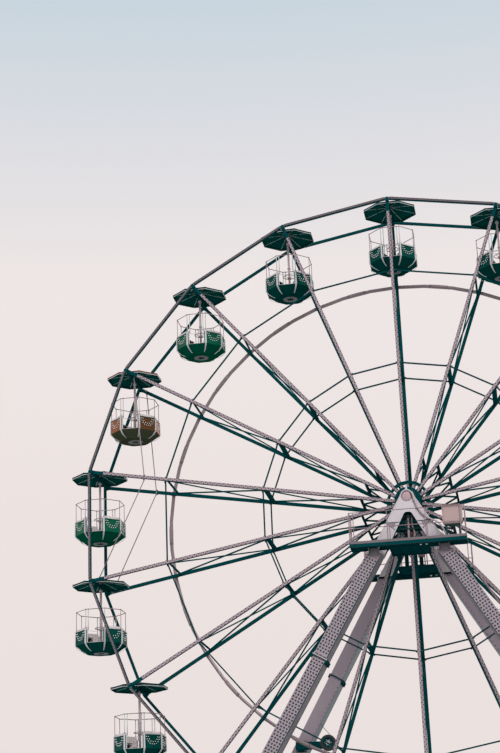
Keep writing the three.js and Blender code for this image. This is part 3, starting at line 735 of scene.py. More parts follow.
class WHEEL_OT_rims(bpy.types.Operator):
    """Rims with lamp strips, joint plates and cabin bearings, and the drive ring's clamps"""
    bl_idname = "wheel.rims"
    bl_label = "Rims"

    def execute(self, context):
        w = wheel()
        dress(["drive_ring"], "ring")
        step = math.radians(180.0 / w.spokes)
        turn = math.degrees(step)
        level, reach = w.rim * math.cos(step) + 0.016, w.rim * math.sin(step) - 0.095
        for s, name in ((-1, "front"), (1, "back")):
            y = s * (w.rim_half + CHORD)
            strips = Piece(f"rim_strips_{name}", "wheel", "frame_steel")
            lamps = Piece(f"rim_lamps_{name}", "wheel", "frame_steel")
            strip = sweep(tray(w.strip - 0.026), [(-reach, y, level), (reach, y, level)], (0, s, 0))
            # Rim strips take the darker copy of the strip paint: painted shade.
            strips.round(strip, "strip_rim", phase=turn)
            x, side = zigzag(-reach + 0.04, reach - 0.02, w.lamp_pitch, 0.017)
            lamps.lamps(w.lamp, np.stack([x, 0 * x + y + s * 0.010, level + side], 1), (0, s, 0), phase=turn)
            strips.build()
            lamps.build()
        self.joints(w)
        self.clamps(w, turn)
        return {"FINISHED"}

    def joints(self, w):
        """Both rims, with a plate, bolts, an end cap and a bearing ring at each joint."""
        joints = Piece("rim_joints", "wheel", "frame_steel")
        corners = spin(360.0 / w.spokes * np.arange(w.spokes)) @ (0, 0, w.rim) + (0, 0, w.height)
        for s in SIDES:
            y = s * w.rim_half
            joints.add(sweep(rect(0.100, 0.100, 0.006), corners + (0, y + s * 0.005, 0), Y, True), "steel")
            joints.round(block((-0.062, y - 0.05, w.rim - 0.2095), (0.062, y + 0.05, w.rim - 0.03)), "steel")
        plate = [(0, 0.040), (0.088, 0.024), (0.088, -0.07), (0.058, -0.15), (-0.058, -0.15), (-0.088, -0.07),
                 (-0.088, 0.024)]
        plate = np.add(plate, (0, w.rim))
        cap = [(0.060, 0), (0.060, 0.010), (0.048, 0.014), (0.044, 0.034), (0.030, 0.042), (0.010, 0.044)]
        ring = [(0.058, 0), (0.074, 0), (0.074, 0.016), (0.058, 0.016)]
        for s in SIDES:
            face, back = (s * (w.rim_half + v) for v in (0.0553, -0.0553))
            joints.round(slab(plate, 1, face, face + s * 0.024), "steel")
            spots = [(x, face + s * 0.024, z) for z in (w.rim, w.rim - 0.05) for x in (-0.068, 0.068)]
            joints.round(bolted(spots, (0, s, 0), 0.010, 0.013), "zinc")
            joints.round(lathe(cap, 16, (0, face + s * 0.022, w.pivot), (0, s, 0)), "steel", True)
            joints.round(lathe(ring, 16, (0, back, w.pivot), (0, -s, 0), True), "steel", True)
        joints.build(replaces=["front_rim", "back_rim"])

    def clamps(self, w, turn):
        """U-bolts with saddles that hold the drive ring on the back chords, and the sleeves at its own joints."""
        clamps = Piece("drive_ring_clamps", "wheel", "frame_steel")
        low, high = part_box("drive_ring")
        mid, seat, pipe = (low[1] + high[1]) / 2, half(w.drive) + CHORD, 0.073
        path = ringed(pipe, np.linspace(160, -160, 17), (0, 0, 0))[:, (1, 0, 2)] + (0, mid, w.drive)
        for x in (-0.045, 0.045):
            clamps.round(moved(sweep(rect(0.03, 0.008), path, X), (x, 0, 0)), "zinc", True)
        for r in (w.drive - 0.095, w.drive + 0.095):
            clamps.round(block((-0.066, seat, r - 0.028), (0.066, seat + 0.008, r + 0.028)), "steel")
        spots = [(x, seat + 0.008, w.drive + t) for x in (-0.045, 0.045) for t in (-0.095, 0.095)]
        clamps.round(bolted(spots, Y, 0.011, 0.013), "zinc")
        path = ringed(w.drive, np.linspace(92.2, 87.8, 7), (0, mid, 0))
        clamps.round(tube(path, pipe, 14, Y), "ring", True, turn)
        clamps.build()


class WHEEL_OT_hub(bpy.types.Operator):
    """Drum, spoke roots and the bowed plate of the hub, and the two stay ropes on the left of the wheel"""
    bl_idname = "wheel.hub"
    bl_label = "Hub and ropes"

    def execute(self, context):
        w = wheel()
        hub = Piece("hub_dressed", "wheel", "frame_steel")
        centre = (0, 0, w.height)
        ring = lambda profile, y, s=1, sides=54: hub.add(
            lathe(profile, sides, np.add(centre, (0, y, 0)), (0, s, 0), True), "steel", True)
        ring([(0.20, -1.42), (0.44, -1.42), (0.46, -1.40), (0.46, 1.40), (0.44, 1.42), (0.20, 1.42)], 0)
        shaft = [(0.150, -1.899), (0.168, -1.88), (0.168, 1.88), (0.150, 1.899)]
        hub.add(lathe(shaft, 32, centre, Y), "zinc", True)
        cover = [(0.175, 1.41), (0.455, 1.41), (0.455, 1.445), (0.36, 1.45), (0.35, 1.50), (0.24, 1.505), (0.235, 1.46),
                 (0.175, 1.46)]
        arc = np.linspace(128, 52, 15)
        for s in SIDES:
            ring(cover, 0, s)
            hub.bolts(ringed(0.405, np.arange(10, 370, 20), (0, s * 1.447, w.height)), (0, s, 0), 0.013, 0.016, "steel")
            ring([(0.70, 0.85), (0.795, 0.85), (0.795, 0.95), (0.70, 0.95)], 0, s, 72)
            hub.round(block((-0.062, s * 0.846, 0.44), (0.062, s * (half(0.6) + 0.054), 0.7995)), "steel")
            hub.round(slab([(s * 0.85, 0.45), (s * 0.85, 0.66), (s * 0.45, 0.45)], 0, -0.008, 0.008), "steel")
            for y, r in ((1.20, 0.472), (0.70, 0.470), (0.25, 0.466)):
                ring([(0.45, -0.018), (r, -0.018), (r, 0.018), (0.45, 0.018)], s * y)
            # Bowed plate over the upper spokes, with a lip and a row of bolts.
            y = s * (half(0.7) + 0.0765)
            bow = np.concatenate([ringed(0.79, arc, (0, 0, 0)), ringed(0.69, arc[::-1], (0, 0, 0))])[:, (0, 2)]
            hub.add(moved(slab(bow, 1, y, y + s * 0.014), centre), "steel")
            hub.add(sweep(rect(0.020, 0.034), ringed(0.785, arc, (0, y + s * 0.012, w.height)), (0, s, 0)), "steel")
            hub.bolts(ringed(0.735, arc[1::2], (0, y + s * 0.014, w.height)), (0, s, 0), 0.011, 0.012, "steel")
        hub.build(replaces=["hub"])
        for name, s, spoke in (("rope_front", -1, 9.91), ("rope_back", 1, 9.92)):
            self.rope(name, s, spoke, w, centre)
        return {"FINISHED"}

    def rope(self, name, s, spoke, w, centre):
        """Taut rope from rim joint to rim joint, held by a loop on a spoke, with a socket and an eye at each end."""
        first, turn, last = spin([60.0, 80.0, 100.0])
        top, low, on = first @ (0, 0, w.pivot - 0.25), last @ (0, 0, w.pivot - 0.2), turn @ (0, 0, spoke)
        y, far = s * (half(spoke) - 0.072), s * 1.085
        path = np.array([(top[0], far, top[2]), (on[0] + 0.004, y, on[2] + 0.085), (on[0] + 0.012, y, on[2]),
                         (on[0] + 0.004, y, on[2] - 0.085), (low[0], far, low[2])]) + centre
        rope = Piece(name, "wheel", "frame_steel")
        rope.add(tube(path, 0.018, 8, Y), "rope", True)
        a = np.radians(np.arange(0, 360, 20))
        square = lambda v, size: size * np.sign(v) * np.abs(v) ** 0.35
        for shift in (-0.018, 0.010):
            loop = np.stack([square(np.cos(a), 0.092), square(np.sin(a), 0.072), 0 * a + shift], 1) @ turn.T
            rope.add(tube(path[2] + (0, s * 0.075, 0) + loop, 0.012, 6, turn[:, 2], True), "rope", True)
        a = np.radians(np.linspace(-150, 150, 11))[:, None]
        for spot, ahead in ((path[0], path[1]), (path[-1], path[-2])):
            way = unit(ahead - spot)
            rope.add(lathe([(0.02, 0), (0.026, 0.02), (0.026, 0.12), (0.015, 0.15)], 10, spot, way), "steel", True)
            rope.add(lathe([(0.017, -0.01), (0.017, 0.01)], 10, spot - way * 0.02, Y), "zinc", True)
            eye = spot - way * 0.045 - 0.035 * (np.cos(a) * way - np.sin(a) * np.cross(way, Y))
            rope.add(tube(eye, 0.008, 6, Y), "zinc", True)
        rope.build()


# ---- Cabins ----

def octagon(flat, level, cut=0.0):
    """Ring of an octagon whose sides face the axes, at a level; a cut takes that length off each side of a corner and
    leaves a short side across it."""
    r = flat / C8
    corner = np.stack([r * np.cos(CORNERS), r * np.sin(CORNERS)], 1)
    if cut:
        t = cut / (2 * flat * T8)
        near = [corner * (1 - t) + np.roll(corner, k, 0) * t for k in (1, -1)]
        corner = np.stack(near, 1).reshape(-1, 2)
    return np.insert(corner, 2, level, 1)


def rise(c, k):
    """Level of the canopy over a ring of relative size k: it falls with the ring's size to the power 1.12."""
    return c.lip + 0.086 + 0.185 * (1 - np.asarray(k, float)) ** 1.12


def canopy(c):
    """Eight-sided roof. Its rings shrink from the edge to the cap, and each panel sags between its ribs by one minus
    its place across squared; the fascia, trim and underside follow as further rings."""
    corner = np.stack([np.cos(CORNERS), np.sin(CORNERS)], 1) / C8
    t = (np.arange(6) / 6)[None, :, None]
    line = (corner[:, None] * (1 - t) + np.roll(corner, -1, 0)[:, None] * t).reshape(-1, 2)
    sag = 1 - np.tile(2 * t.ravel() - 1, 8) ** 2
    flat, low = c.canopy * C8, c.lip
    outer = [0.06, 0.16, 0.32, 0.48, 0.64, 0.80, 0.92, 0.992]
    droop = lambda k: 0.028 * math.sin(math.pi * min(k, 0.96))
    top = [(k, rise(c, k), droop(k), "top") for k in outer]
    edge = [(1.0, low + 0.078, 0, "top"), (1.0, low + 0.024, 0, "side"), (1.006, low + 0.020, 0, "trim"),
            (1.006, low + 0.002, 0, "trim"), (0.998, low, 0, "trim"), (0.984, low, 0, "under"),
            (0.980, low + 0.070, 0, "under")]
    under = [(k, rise(c, k) - 0.014, droop(k), "under") for k in outer[::-1]]
    rows = top + edge + under
    rings = [np.column_stack([line * flat * k, level - fall * sag]) for k, level, fall, _ in rows]
    return loft(rings), [band for *_, band in rows[1:]]


def fin(c, angle, wide):
    """Pale corner post that runs on down the slope as a fin: a rectangle carried from the edge to the knee and along
    the slope, standing off it by a half sine."""
    knee, foot = c.tub / C8, c.base / C8
    t = np.linspace(0, 1, 9)
    bow = np.sin(np.pi * t)
    r = np.concatenate([[knee + 0.003, knee + 0.004], knee + (foot - knee) * 0.93 * t + 0.034 * bow + 0.006])
    drop = c.knee + (c.bottom - c.knee) * 0.93 * t
    z = np.concatenate([[c.top + 0.01, (c.top + c.knee) / 2], drop - 0.024 * bow])
    w = np.concatenate([[wide, wide], wide - (wide - 0.034) * t])
    d = np.concatenate([[0.020, 0.022], 0.026 - 0.008 * t])
    q = np.array([(-0.5, 0), (0.5, 0), (0.40, 1), (-0.40, 1)])
    rings = np.stack([r[:, None] - 0.012 + d[:, None] * q[:, 1], w[:, None] * q[:, 0], z[:, None] + 0 * q[:, 0]], -1)
    return loft(rings @ turned(angle).T)


def turned(angle):
    """Turn about Z."""
    c, s = math.cos(angle), math.sin(angle)
    return np.array([[c, -s, 0], [s, c, 0], [0, 0, 1]])


def swag(c, wide, drop):
    """Bulb places along a wide U on a side panel: across, and down by one minus the place across to the power 2.6."""
    u = np.linspace(-1, 1, 121)
    y, z = wide * np.sign(u) * np.abs(u) ** 0.75, c.top - 0.10 - drop * (1 - np.abs(u) ** 2.6)
    far = np.concatenate([[0], np.cumsum(np.hypot(np.diff(y), np.diff(z)))])
    pitch = 0.094
    even = np.linspace(0, far[-1], max(3, int(round(far[-1] / pitch)) + 1))
    return np.stack([0 * even + c.tub - 0.006, np.interp(even, far, y), np.interp(even, far, z)], 1)


def tub_side(c, body, put):
    """One closed side of the tub: recessed panel, pressed frame, top rail, swag of bulbs and screws."""
    wide, edge = c.tub * T8, c.tub * T8 - 0.055
    low, high = c.sill + 0.022, c.top - 0.062
    put(block((c.tub - 0.034, -wide + 0.003, c.sill), (c.tub - 0.010, wide - 0.003, c.top)), body)
    line = [(c.tub - 0.007, y, z) for y, z in ((-edge, low), (edge, low), (edge, high), (-edge, high))]
    put(sweep(rect(0.036, 0.012, 0.003), line, X, True), body)
    put(block((c.tub - 0.012, -wide + 0.02, c.top - 0.040), (c.tub - 0.002, wide - 0.02, c.top - 0.018)), "canopy")
    put(tube([(c.tub - 0.014, y, c.top - 0.004) for y in (-wide + 0.008, wide - 0.008)], 0.015, 8), "white", True)
    ball = lathe([(0.021, 0), (0.019, 0.013), (0.010, 0.022)], 6)
    for spots in (swag(c, 0.275, 0.250), swag(c, 0.200, 0.170)):
        put(copies(ball, spots + (0.003, 0, 0), aim(X)), "bulb", True)
        put(sweep(rect(0.008, 0.005), spots, X), "canopy")
    screws = [(c.tub, y, z) for y in (-edge, edge) for z in (low, high)]
    put(bolted(screws, X, 0.006, 0.006), "zinc")


def tub_entry(c, body, put):
    """One open side: short returns at the corners, sill and jambs with the trim, and a slack chain across."""
    wide, out = c.tub * T8, c.tub + 0.004
    for s in SIDES:
        jamb = s * (c.entry + 0.004)
        put(block((c.tub - 0.042, s * c.entry, c.sill), (c.tub - 0.002, s * (wide - 0.002), c.top)), body)
        put(block((c.tub - 0.048, jamb, c.sill), (out, s * (c.entry - 0.020), c.top)), "white")
        put(block((c.tub - 0.02, jamb, c.top - 0.018), (out, s * (wide - 0.01), c.top)), "white")
    put(block((c.tub - 0.05, -wide + 0.01, c.sill - 0.010), (out, wide - 0.01, c.sill + 0.010)), "white")
    put(block((0.44, -c.entry + 0.004, c.sill - 0.012), (c.tub - 0.05, c.entry - 0.004, c.sill)), "tread_pale")
    u = np.linspace(-1, 1, 11)
    chain = np.stack([0 * u + c.tub - 0.022, u * (c.entry - 0.012), c.top - 0.05 - 0.05 * (1 - u ** 2)], 1)
    put(tube(chain, 0.007, 6), "zinc", True)
    hooks = [(c.tub - 0.022, s * (c.entry - 0.016), c.top - 0.05) for s in SIDES]
    put(copies(lathe([(0.013, -0.012), (0.013, 0.012)], 8), hooks), "zinc", True)


def cabin(look):
    """One cabin about its pivot, as a list of surfaces with their finishes."""
    c = bpy.context.scene.cabin_sizes
    body, low, side = {"green": ("green", "green_low", "canopy"), "dark": ("teal", "teal_low", "canopy"),
                       "amber": ("amber", "olive", "brown")}[look]
    # Side 7 of the amber tub in painted shade, side 0 in painted light.
    lit_and_shaded_sides = {7: "umber", 0: "coral"} if look == "amber" else {}
    made = []
    put = lambda surface, name, smooth=False: made.append((surface, name, smooth))
    hang(c, put)
    roof(c, side, put)
    tub(c, body, low, lit_and_shaded_sides, put)
    benches(c, body, put)
    guards(c, put)
    return made


def hang(c, put):
    """Axle, sleeves, hangers and pole."""
    axle = [(0.030, 1.098), (0.062, 1.098), (0.062, 1.03), (0.050, 1.026)]
    ends = [(0.030, -1.205)] + [(r, -y) for r, y in axle] + axle[::-1] + [(0.030, 1.205)]
    put(lathe(ends, 14, axis=Y), "steel", True)
    put(block((-0.070, -0.10, -0.078), (0.070, 0.10, 0.078)), "steel")
    for y in (-0.52, 0.52):
        put(lathe([(0.068, -0.03), (0.068, 0.03)], 12, (0, y, 0), Y), "steel", True)
        put(beam((0, y, 0.04), (0, y, float(rise(c, 0.5)) - 0.03), 0.06, 0.012, Y), "steel")
    put(sweep(rect(0.078, 0.078, 0.018), [(0, 0, -2.36), (0, 0, 0.235)], Y), "pole", True)
    for z, r in ((-0.15, 0.062), (-1.20, 0.060), (-2.34, 0.075)):
        put(lathe([(0.045, -0.03), (r, -0.026), (r, 0.026), (0.045, 0.03)], 16, (0, 0, z)), "pole", True)


def roof(c, side, put):
    """Canopy, ribs, ring beam and finial, a little shorter front to back."""
    squash = lambda surface: (surface[0] * (1, 0.955, 1), surface[1])
    shell, bands = canopy(c)
    looks = {"top": "canopy", "side": side, "trim": "white", "under": "under"}
    put(squash(shell), [looks[b] for b in bands])
    ribs = (((0.08, 0.3, 0.55, 0.8, 0.965), -0.024, rect(0.030, 0.024, 0.006), "rib"),
            ((0.1, 0.4, 0.7, 0.99), 0.003, rect(0.028, 0.010, 0.003), "canopy"))
    for a in CORNERS:
        d = np.array([math.cos(a), math.sin(a), 0])
        for sizes, shift, profile, name in ribs:
            k = np.array(sizes)
            path = d * (c.canopy * k)[:, None] + np.array(Z) * (rise(c, k) + shift)[:, None]
            put(squash(sweep(profile, path)), name)
    ring = octagon(c.canopy * C8 * 0.5, float(rise(c, 0.5)) - 0.040)
    put(squash(sweep(rect(0.014, 0.016), ring, Z, True)), "under")
    finial = [(0.10, 0), (0.10, 0.008), (0.06, 0.016), (0.03, 0.020), (0.028, 0.026), (0.012, 0.030)]
    put(lathe(finial, 20, (0, 0, float(rise(c, 0.06)) - 0.005)), "white", True)


def tub(c, body, low, lit_and_shaded_sides, put):
    """Tub: shell, bottom plate with its ring and bolts, the eight sides and the corner fins."""
    shell = [(c.tub - 0.045, c.sill), (c.tub - 0.003, c.sill), (c.tub - 0.001, c.knee + 0.012),
             (c.tub - 0.014, c.knee - 0.014), (c.base + 0.02, c.bottom + 0.014), (c.base, c.bottom),
             (c.base - 0.06, c.bottom + 0.004), (INNER, -2.40), (INNER, c.sill)]
    rings = [octagon(f, z, 0.03) for f, z in shell]
    put(loft(rings, closed=True), [body, body] + [low] * 7)
    put(slab(octagon(c.base - 0.03, 0)[:, :2], 2, c.bottom + 0.001, c.bottom - 0.002), low)
    plate = [(0.125, 0), (0.28, 0), (0.28, 0.004), (0.272, 0.009), (0.133, 0.009), (0.125, 0.004)]
    put(lathe(plate, 36, (0, 0, c.bottom - 0.002), DOWN, True), "dull", True)
    spots = ringed(0.205, np.arange(0, 360, 45), (0, 0, 0))[:, (0, 2, 1)] + (0, 0, c.bottom - 0.011)
    put(bolted(spots, DOWN, 0.010, 0.008), "zinc")
    bead = [(c.tub, y, c.knee + 0.004) for y in (-c.tub * T8 + 0.03, c.tub * T8 - 0.03)]
    for i in range(8):
        turn = turned(np.pi / 4 * i)
        place = lambda surface, name, smooth=False: put(copies(surface, (0, 0, 0), turn), name, smooth)
        (tub_entry if i % 4 == 2 else tub_side)(c, lit_and_shaded_sides.get(i, body), place)
        place(sweep(rect(0.010, 0.008), bead, X), body)
    for a in CORNERS:
        put(fin(c, a, 0.066), "white")


def benches(c, body, put):
    """Seat shell, riser and ridges carried along the three inner sides on each side of the entries, and the floor."""
    d, end = c.tub - 0.045, c.entry + 0.012
    seat = [(0.004, -1.63), (0.034, -1.60), (0.058, -1.625), (0.075, -1.88), (0.115, -1.955), (0.19, -1.975),
            (0.35, -1.962), (0.395, -1.975), (0.405, -2.005), (0.400, -2.20), (0.385, -2.20), (0.385, -2.04),
            (0.004, -2.04)]
    riser = [(0.384, -2.20), (0.399, -2.20), (0.399, -2.37), (0.384, -2.37)]
    ridge = [(-0.006, -1.970), (0.006, -1.970), (0.003, -1.963), (-0.003, -1.963)]
    bends = np.array([(end, d, 0), (d * T8, d, 0), (d, d * T8, 0), (d, -d * T8, 0), (d * T8, -d, 0), (end, -d, 0)])
    for s in SIDES:
        carry = lambda profile, name: put(sweep([(s * x, z) for x, z in profile], bends * (s, 1, 1)), name)
        carry(seat, "seat")
        carry(riser, body)
        for at in (0.16, 0.24, 0.32):
            carry([(at + x, z) for x, z in ridge], "seat")
    put(slab(octagon(INNER, 0)[:, :2], 2, -2.385, -2.36), "tread_pale")


def guards(c, put):
    """Guard pipe on posts at the corners and beside the entries, and the hand ring on the pole."""
    level = c.hoop - 0.018
    put(tube(octagon(0.846, level, 0.05), 0.0145, 8, Z, True), "hoop", True)
    for x, y, radius, name in ((0.36, 0.842, 0.016, "white"), (0.262, 0.846, 0.016, "white"),
                               (0.842, 0.36, 0.012, "hoop")):
        for p, q in ((x, y), (x, -y), (-x, y), (-x, -y)):
            put(rod((p, q, c.top - 0.02), (p, q, level), radius, 7), name, True)
            put(lathe([(0.024, 0), (0.020, 0.02), (0.012, 0.022)], 8, (p, q, c.top)), "hoop", True)
            put(lathe([(0.019, -0.018), (0.019, 0.018)], 8, (p, q, level)), "hoop", True)
    a = np.radians(np.arange(0, 360, 15))
    put(tube(np.stack([0.225 * np.cos(a), 0.225 * np.sin(a), 0 * a - 1.55], 1), 0.014, 8, Z, True), "hoop", True)
    for a in np.radians([45, 135, 225, 315]):
        e = np.array([math.cos(a), math.sin(a), 0])
        put(rod(e * 0.04 + (0, 0, -1.61), e * 0.222 + (0, 0, -1.55), 0.009, 6), "hoop", True)
    put(lathe([(0.05, -0.04), (0.070, -0.034), (0.070, 0.034), (0.05, 0.04)], 16, (0, 0, -1.61)), "hoop", True)


class WHEEL_OT_cabins(bpy.types.Operator):
    """Round open cabins with canopies, benches, guard pipes and bulbs, one on each pivot"""
    bl_idname = "wheel.cabins"
    bl_label = "Cabins"

    def execute(self, context):
        w = wheel()
        kinds = {look: cabin(look) for look in ("green", "dark", "amber")}
        for k in range(w.spokes):
            look = "amber" if k == AMBER else "dark" if k in DARK else "green"
            at = spin([360.0 / w.spokes * k])[0] @ (0, 0, w.pivot) + (0, 0, w.height)
            piece = Piece(f"cabin_body_{k:02d}", f"cabin_{k:02d}", "cabin_orange" if k == AMBER else "cabin_green")
            for surface, name, smooth in kinds[look]:
                piece.add(moved(surface, at), name, smooth)
            piece.build(replaces=[f"cabin_{k:02d}"])
        return {"FINISHED"}


# ---- Supports ----

def leg_axes(sx, sy):
    """Directions of a leg: down along it, out of its outer face, and sideways away from the middle."""
    w = wheel()
    along = unit((sx * w.slope, sy * w.rake, -1.0))
    normal = unit(np.cross(along, X))
    normal = normal * np.sign(normal[1] * sy)
    side = np.cross(normal, along)
    return along, normal, side * np.sign(side[0] * sx)


def on_leg(sx, sy, depth, across, out):
    """Points on a leg's outer face: depth under the axis, across from its middle line away from the wheel's middle,
    and out from the face along Y."""
    w = wheel()
    side = leg_axes(sx, sy)[2]
    depth, across, out = (np.asarray(v, float)[..., None] for v in (depth, across, out))
    x, y = sx * (w.leg_mid + w.slope * depth), sy * (w.leg_face + w.rake * depth)
    middle = np.concatenate([x, y, w.height - depth], -1)
    return middle + across * side + out * np.array((0, sy, 0))


class WHEEL_OT_legs(bpy.types.Operator):
    """Lamp boards, edge strips, splice bolts and foot gussets on the four legs"""
    bl_idname = "wheel.legs"
    bl_label = "Legs"

    def execute(self, context):
        w = wheel()
        legs = {f"leg_{end}_{side}": (sx, sy) for end, sy in (("front", -1), ("back", 1))
                for side, sx in (("left", -1), ("right", 1))}
        dress([name for name, (_, sy) in legs.items() if sy < 0], "leg")
        # The back legs take leg_back, a lighter copy of the leg paint: painted light on faces that stand in shade.
        dress([name for name, (_, sy) in legs.items() if sy > 0], "leg_back")
        for node, (sx, sy) in legs.items():
            strip = lambda d0, d1, e, out, wide, high: sweep(
                rect(wide, high, min(wide, high) / 4), [on_leg(sx, sy, d, e, out) for d in (d0, d1)],
                leg_axes(sx, sy)[1])
            self.boards(node, sx, sy, w, strip)
            plain = Piece(node.replace("leg", "leg_fittings"), "base", "leg_steel")
            self.edges(plain, sx, sy, w, strip)
            self.splice(plain, sx, sy, w)
            self.foot(plain, sx, sy, w)
            plain.build()
        return {"FINISHED"}

    def boards(self, node, sx, sy, w, strip):
        """Boards down the outer face with four staggered columns of lamps, and a line of small lamps behind."""
        along, normal, _ = leg_axes(sx, sy)
        board = Piece(node.replace("leg", "leg_board"), "base", "leg_steel")
        lamps = Piece(node.replace("leg", "leg_lamps"), "base", "leg_steel")
        for d0, d1 in ((2.30, 5.60), (5.74, 10.40), (10.43, 15.25)):
            board.add(strip(d0, d1, 0.004, 0.008, 0.446, 0.014), "board")
            board.add(strip(d0, d1, 0.231, 0.009, 0.010, 0.022), "board")
            # A dark strip along the board's inner edge: painted shadow at the gap beside the inner corner.
            board.add(strip(d0, d1, -0.226, 0.006, 0.016, 0.014), "tie")
            rows = np.arange(d0 + 0.06, d1 - 0.03, w.board_pitch / 1.1615)
            grid, cols = np.meshgrid(rows, np.array([-1.5, -0.5, 0.5, 1.5]) * w.board_pitch, indexing="ij")
            cols = cols + np.where(np.arange(len(rows)) % 2, 0.012, -0.012)[:, None]
            spots = on_leg(sx, sy, grid.ravel(), cols.ravel() + 0.004, 0.015)
            lamps.lamps(0.036, spots, normal, along, ("cup_dark", "lens_dark"))
        rows = np.arange(2.9, 14.9, 0.145)
        rows = rows[np.abs(rows - w.splice) > 0.2]
        lamps.lamps(0.018, on_leg(sx, sy, rows, 0 * rows - 0.195, -w.leg_deep * 1.0015), -normal, along)
        board.build()
        lamps.build()

    def edges(self, plain, sx, sy, w, strip):
        """Corner strips down the inner and outer sides, with stiffeners between them."""
        side = leg_axes(sx, sy)[2]
        for e in SIDES:
            for d0, d1 in ((2.2, 5.62), (5.72, 15.7)):
                # Strips on the inner side (e < 0) are dark: a painted shadow line down the inner corners.
                for out, look in ((-0.020, "tie"), (-w.leg_deep + 0.020, "leg_dark")):
                    plain.add(strip(d0, d1, e * 0.2385, out, 0.006, 0.030), look if e < 0 else "leg")
            for depth in (3.6, 8.0, 9.9, 12.4, 14.6):
                ends = [on_leg(sx, sy, depth, e * 0.238, v) for v in (-0.04, -w.leg_deep + 0.04)]
                plain.add(sweep(rect(0.07, 0.007), ends, side), "leg")

    def splice(self, plain, sx, sy, w):
        """Splice: a dark edge round the flange, a pale line along its upper front edge, bolts and webs."""
        fall, out, across = unit((sx * w.slope, 0, -1.0)), np.array((0, sy, 0)), unit((sx, 0, w.slope))
        middle = np.array((sx * (w.leg_mid + w.slope * w.splice),
                           sy * (w.leg_face + w.rake * w.splice - w.leg_deep / 2), w.height - w.splice))
        at = lambda u, v, t: middle + sum(np.multiply.outer(np.asarray(n, float), axis)
                                          for n, axis in ((u, across), (v, out), (t, fall)))
        corners = at([-0.2835, 0.2835, 0.2835, -0.2835], [-0.4715, -0.4715, 0.4715, 0.4715], [0, 0, 0, 0])
        plain.add(sweep(rect(0.005, 0.044), corners, fall, True), "tie")
        plain.add(beam(at(-0.28, 0.478, -0.016), at(0.28, 0.478, -0.016), 0.022, 0.012, out), "panel")
        for q in SIDES:
            ends = [at(q * 0.262, v, 0.078) for v in (-0.462, 0.462)]
            plain.add(sweep(rect(0.044, 0.106, 0.004), ends, fall), "tie")
        long, short = np.linspace(-0.40, 0.40, 7), np.linspace(-0.20, 0.20, 5)
        for t in (-0.025, 0.025):
            spots = [at(0 * long + u, long, 0 * long + t) for u in (-0.261, 0.261)]
            spots += [at(short, 0 * short + v, 0 * short + t) for v in (-0.449, 0.449)]
            plain.bolts(np.concatenate(spots), fall * np.sign(t), 0.013, 0.018, "leg_dark")
        for u in (-0.15, 0.0, 0.15):
            for t in SIDES:
                web = np.array([at(u, v, t * h) for v, h in ((0.425, 0.025), (0.466, 0.025), (0.425, 0.14))])
                plain.add(loft([web + across * q for q in (-0.006, 0.006)]), "leg_dark")

    def foot(self, plain, sx, sy, w):
        """Bolts and gussets on the foot plate."""
        depth, deep = w.height - 0.45, w.leg_deep / 2
        cx, cy = sx * (w.leg_mid + w.slope * depth), sy * (w.leg_face + w.rake * depth - deep)
        spots = [(cx + h, cy + v, 0.4805) for h in (-0.34, -0.17, 0.0, 0.17, 0.34) for v in (-0.505, 0.505)]
        plain.bolts(spots, Z, 0.018, 0.03)
        for v in SIDES:
            near, far = cy + v * (deep - 0.01), cy + v * (deep + 0.11)
            for x in (cx - 0.2, cx, cx + 0.2):
                web = [(near, 0.47), (far, 0.47), (far, 0.50), (near, 0.72)]
                plain.add(slab(web, 0, x - 0.007, x + 0.007), "leg")


def rails(piece, path, levels, radius, posts, base):
    """Guard rails: round pipes at each level along a path, posts with foot plates."""
    for level in levels:
        piece.add(tube([(x, y, level) for x, y in path], radius), "rail", True)
    for x, y in posts:
        piece.add(rod((x, y, base), (x, y, levels[0]), radius), "rail", True)
        piece.add(block((x - 0.045, y - 0.045, base), (x + 0.045, y + 0.045, base + 0.008)), "rail")
        piece.bolts(four((x, y, base + 0.008), 0.033, 0.033), Z, 0.007, 0.008)
        for level in levels[1:]:
            piece.add(lathe([(radius * 1.3, -0.02), (radius * 1.3, 0.02)], 8, (x, y, level)), "rail", True)


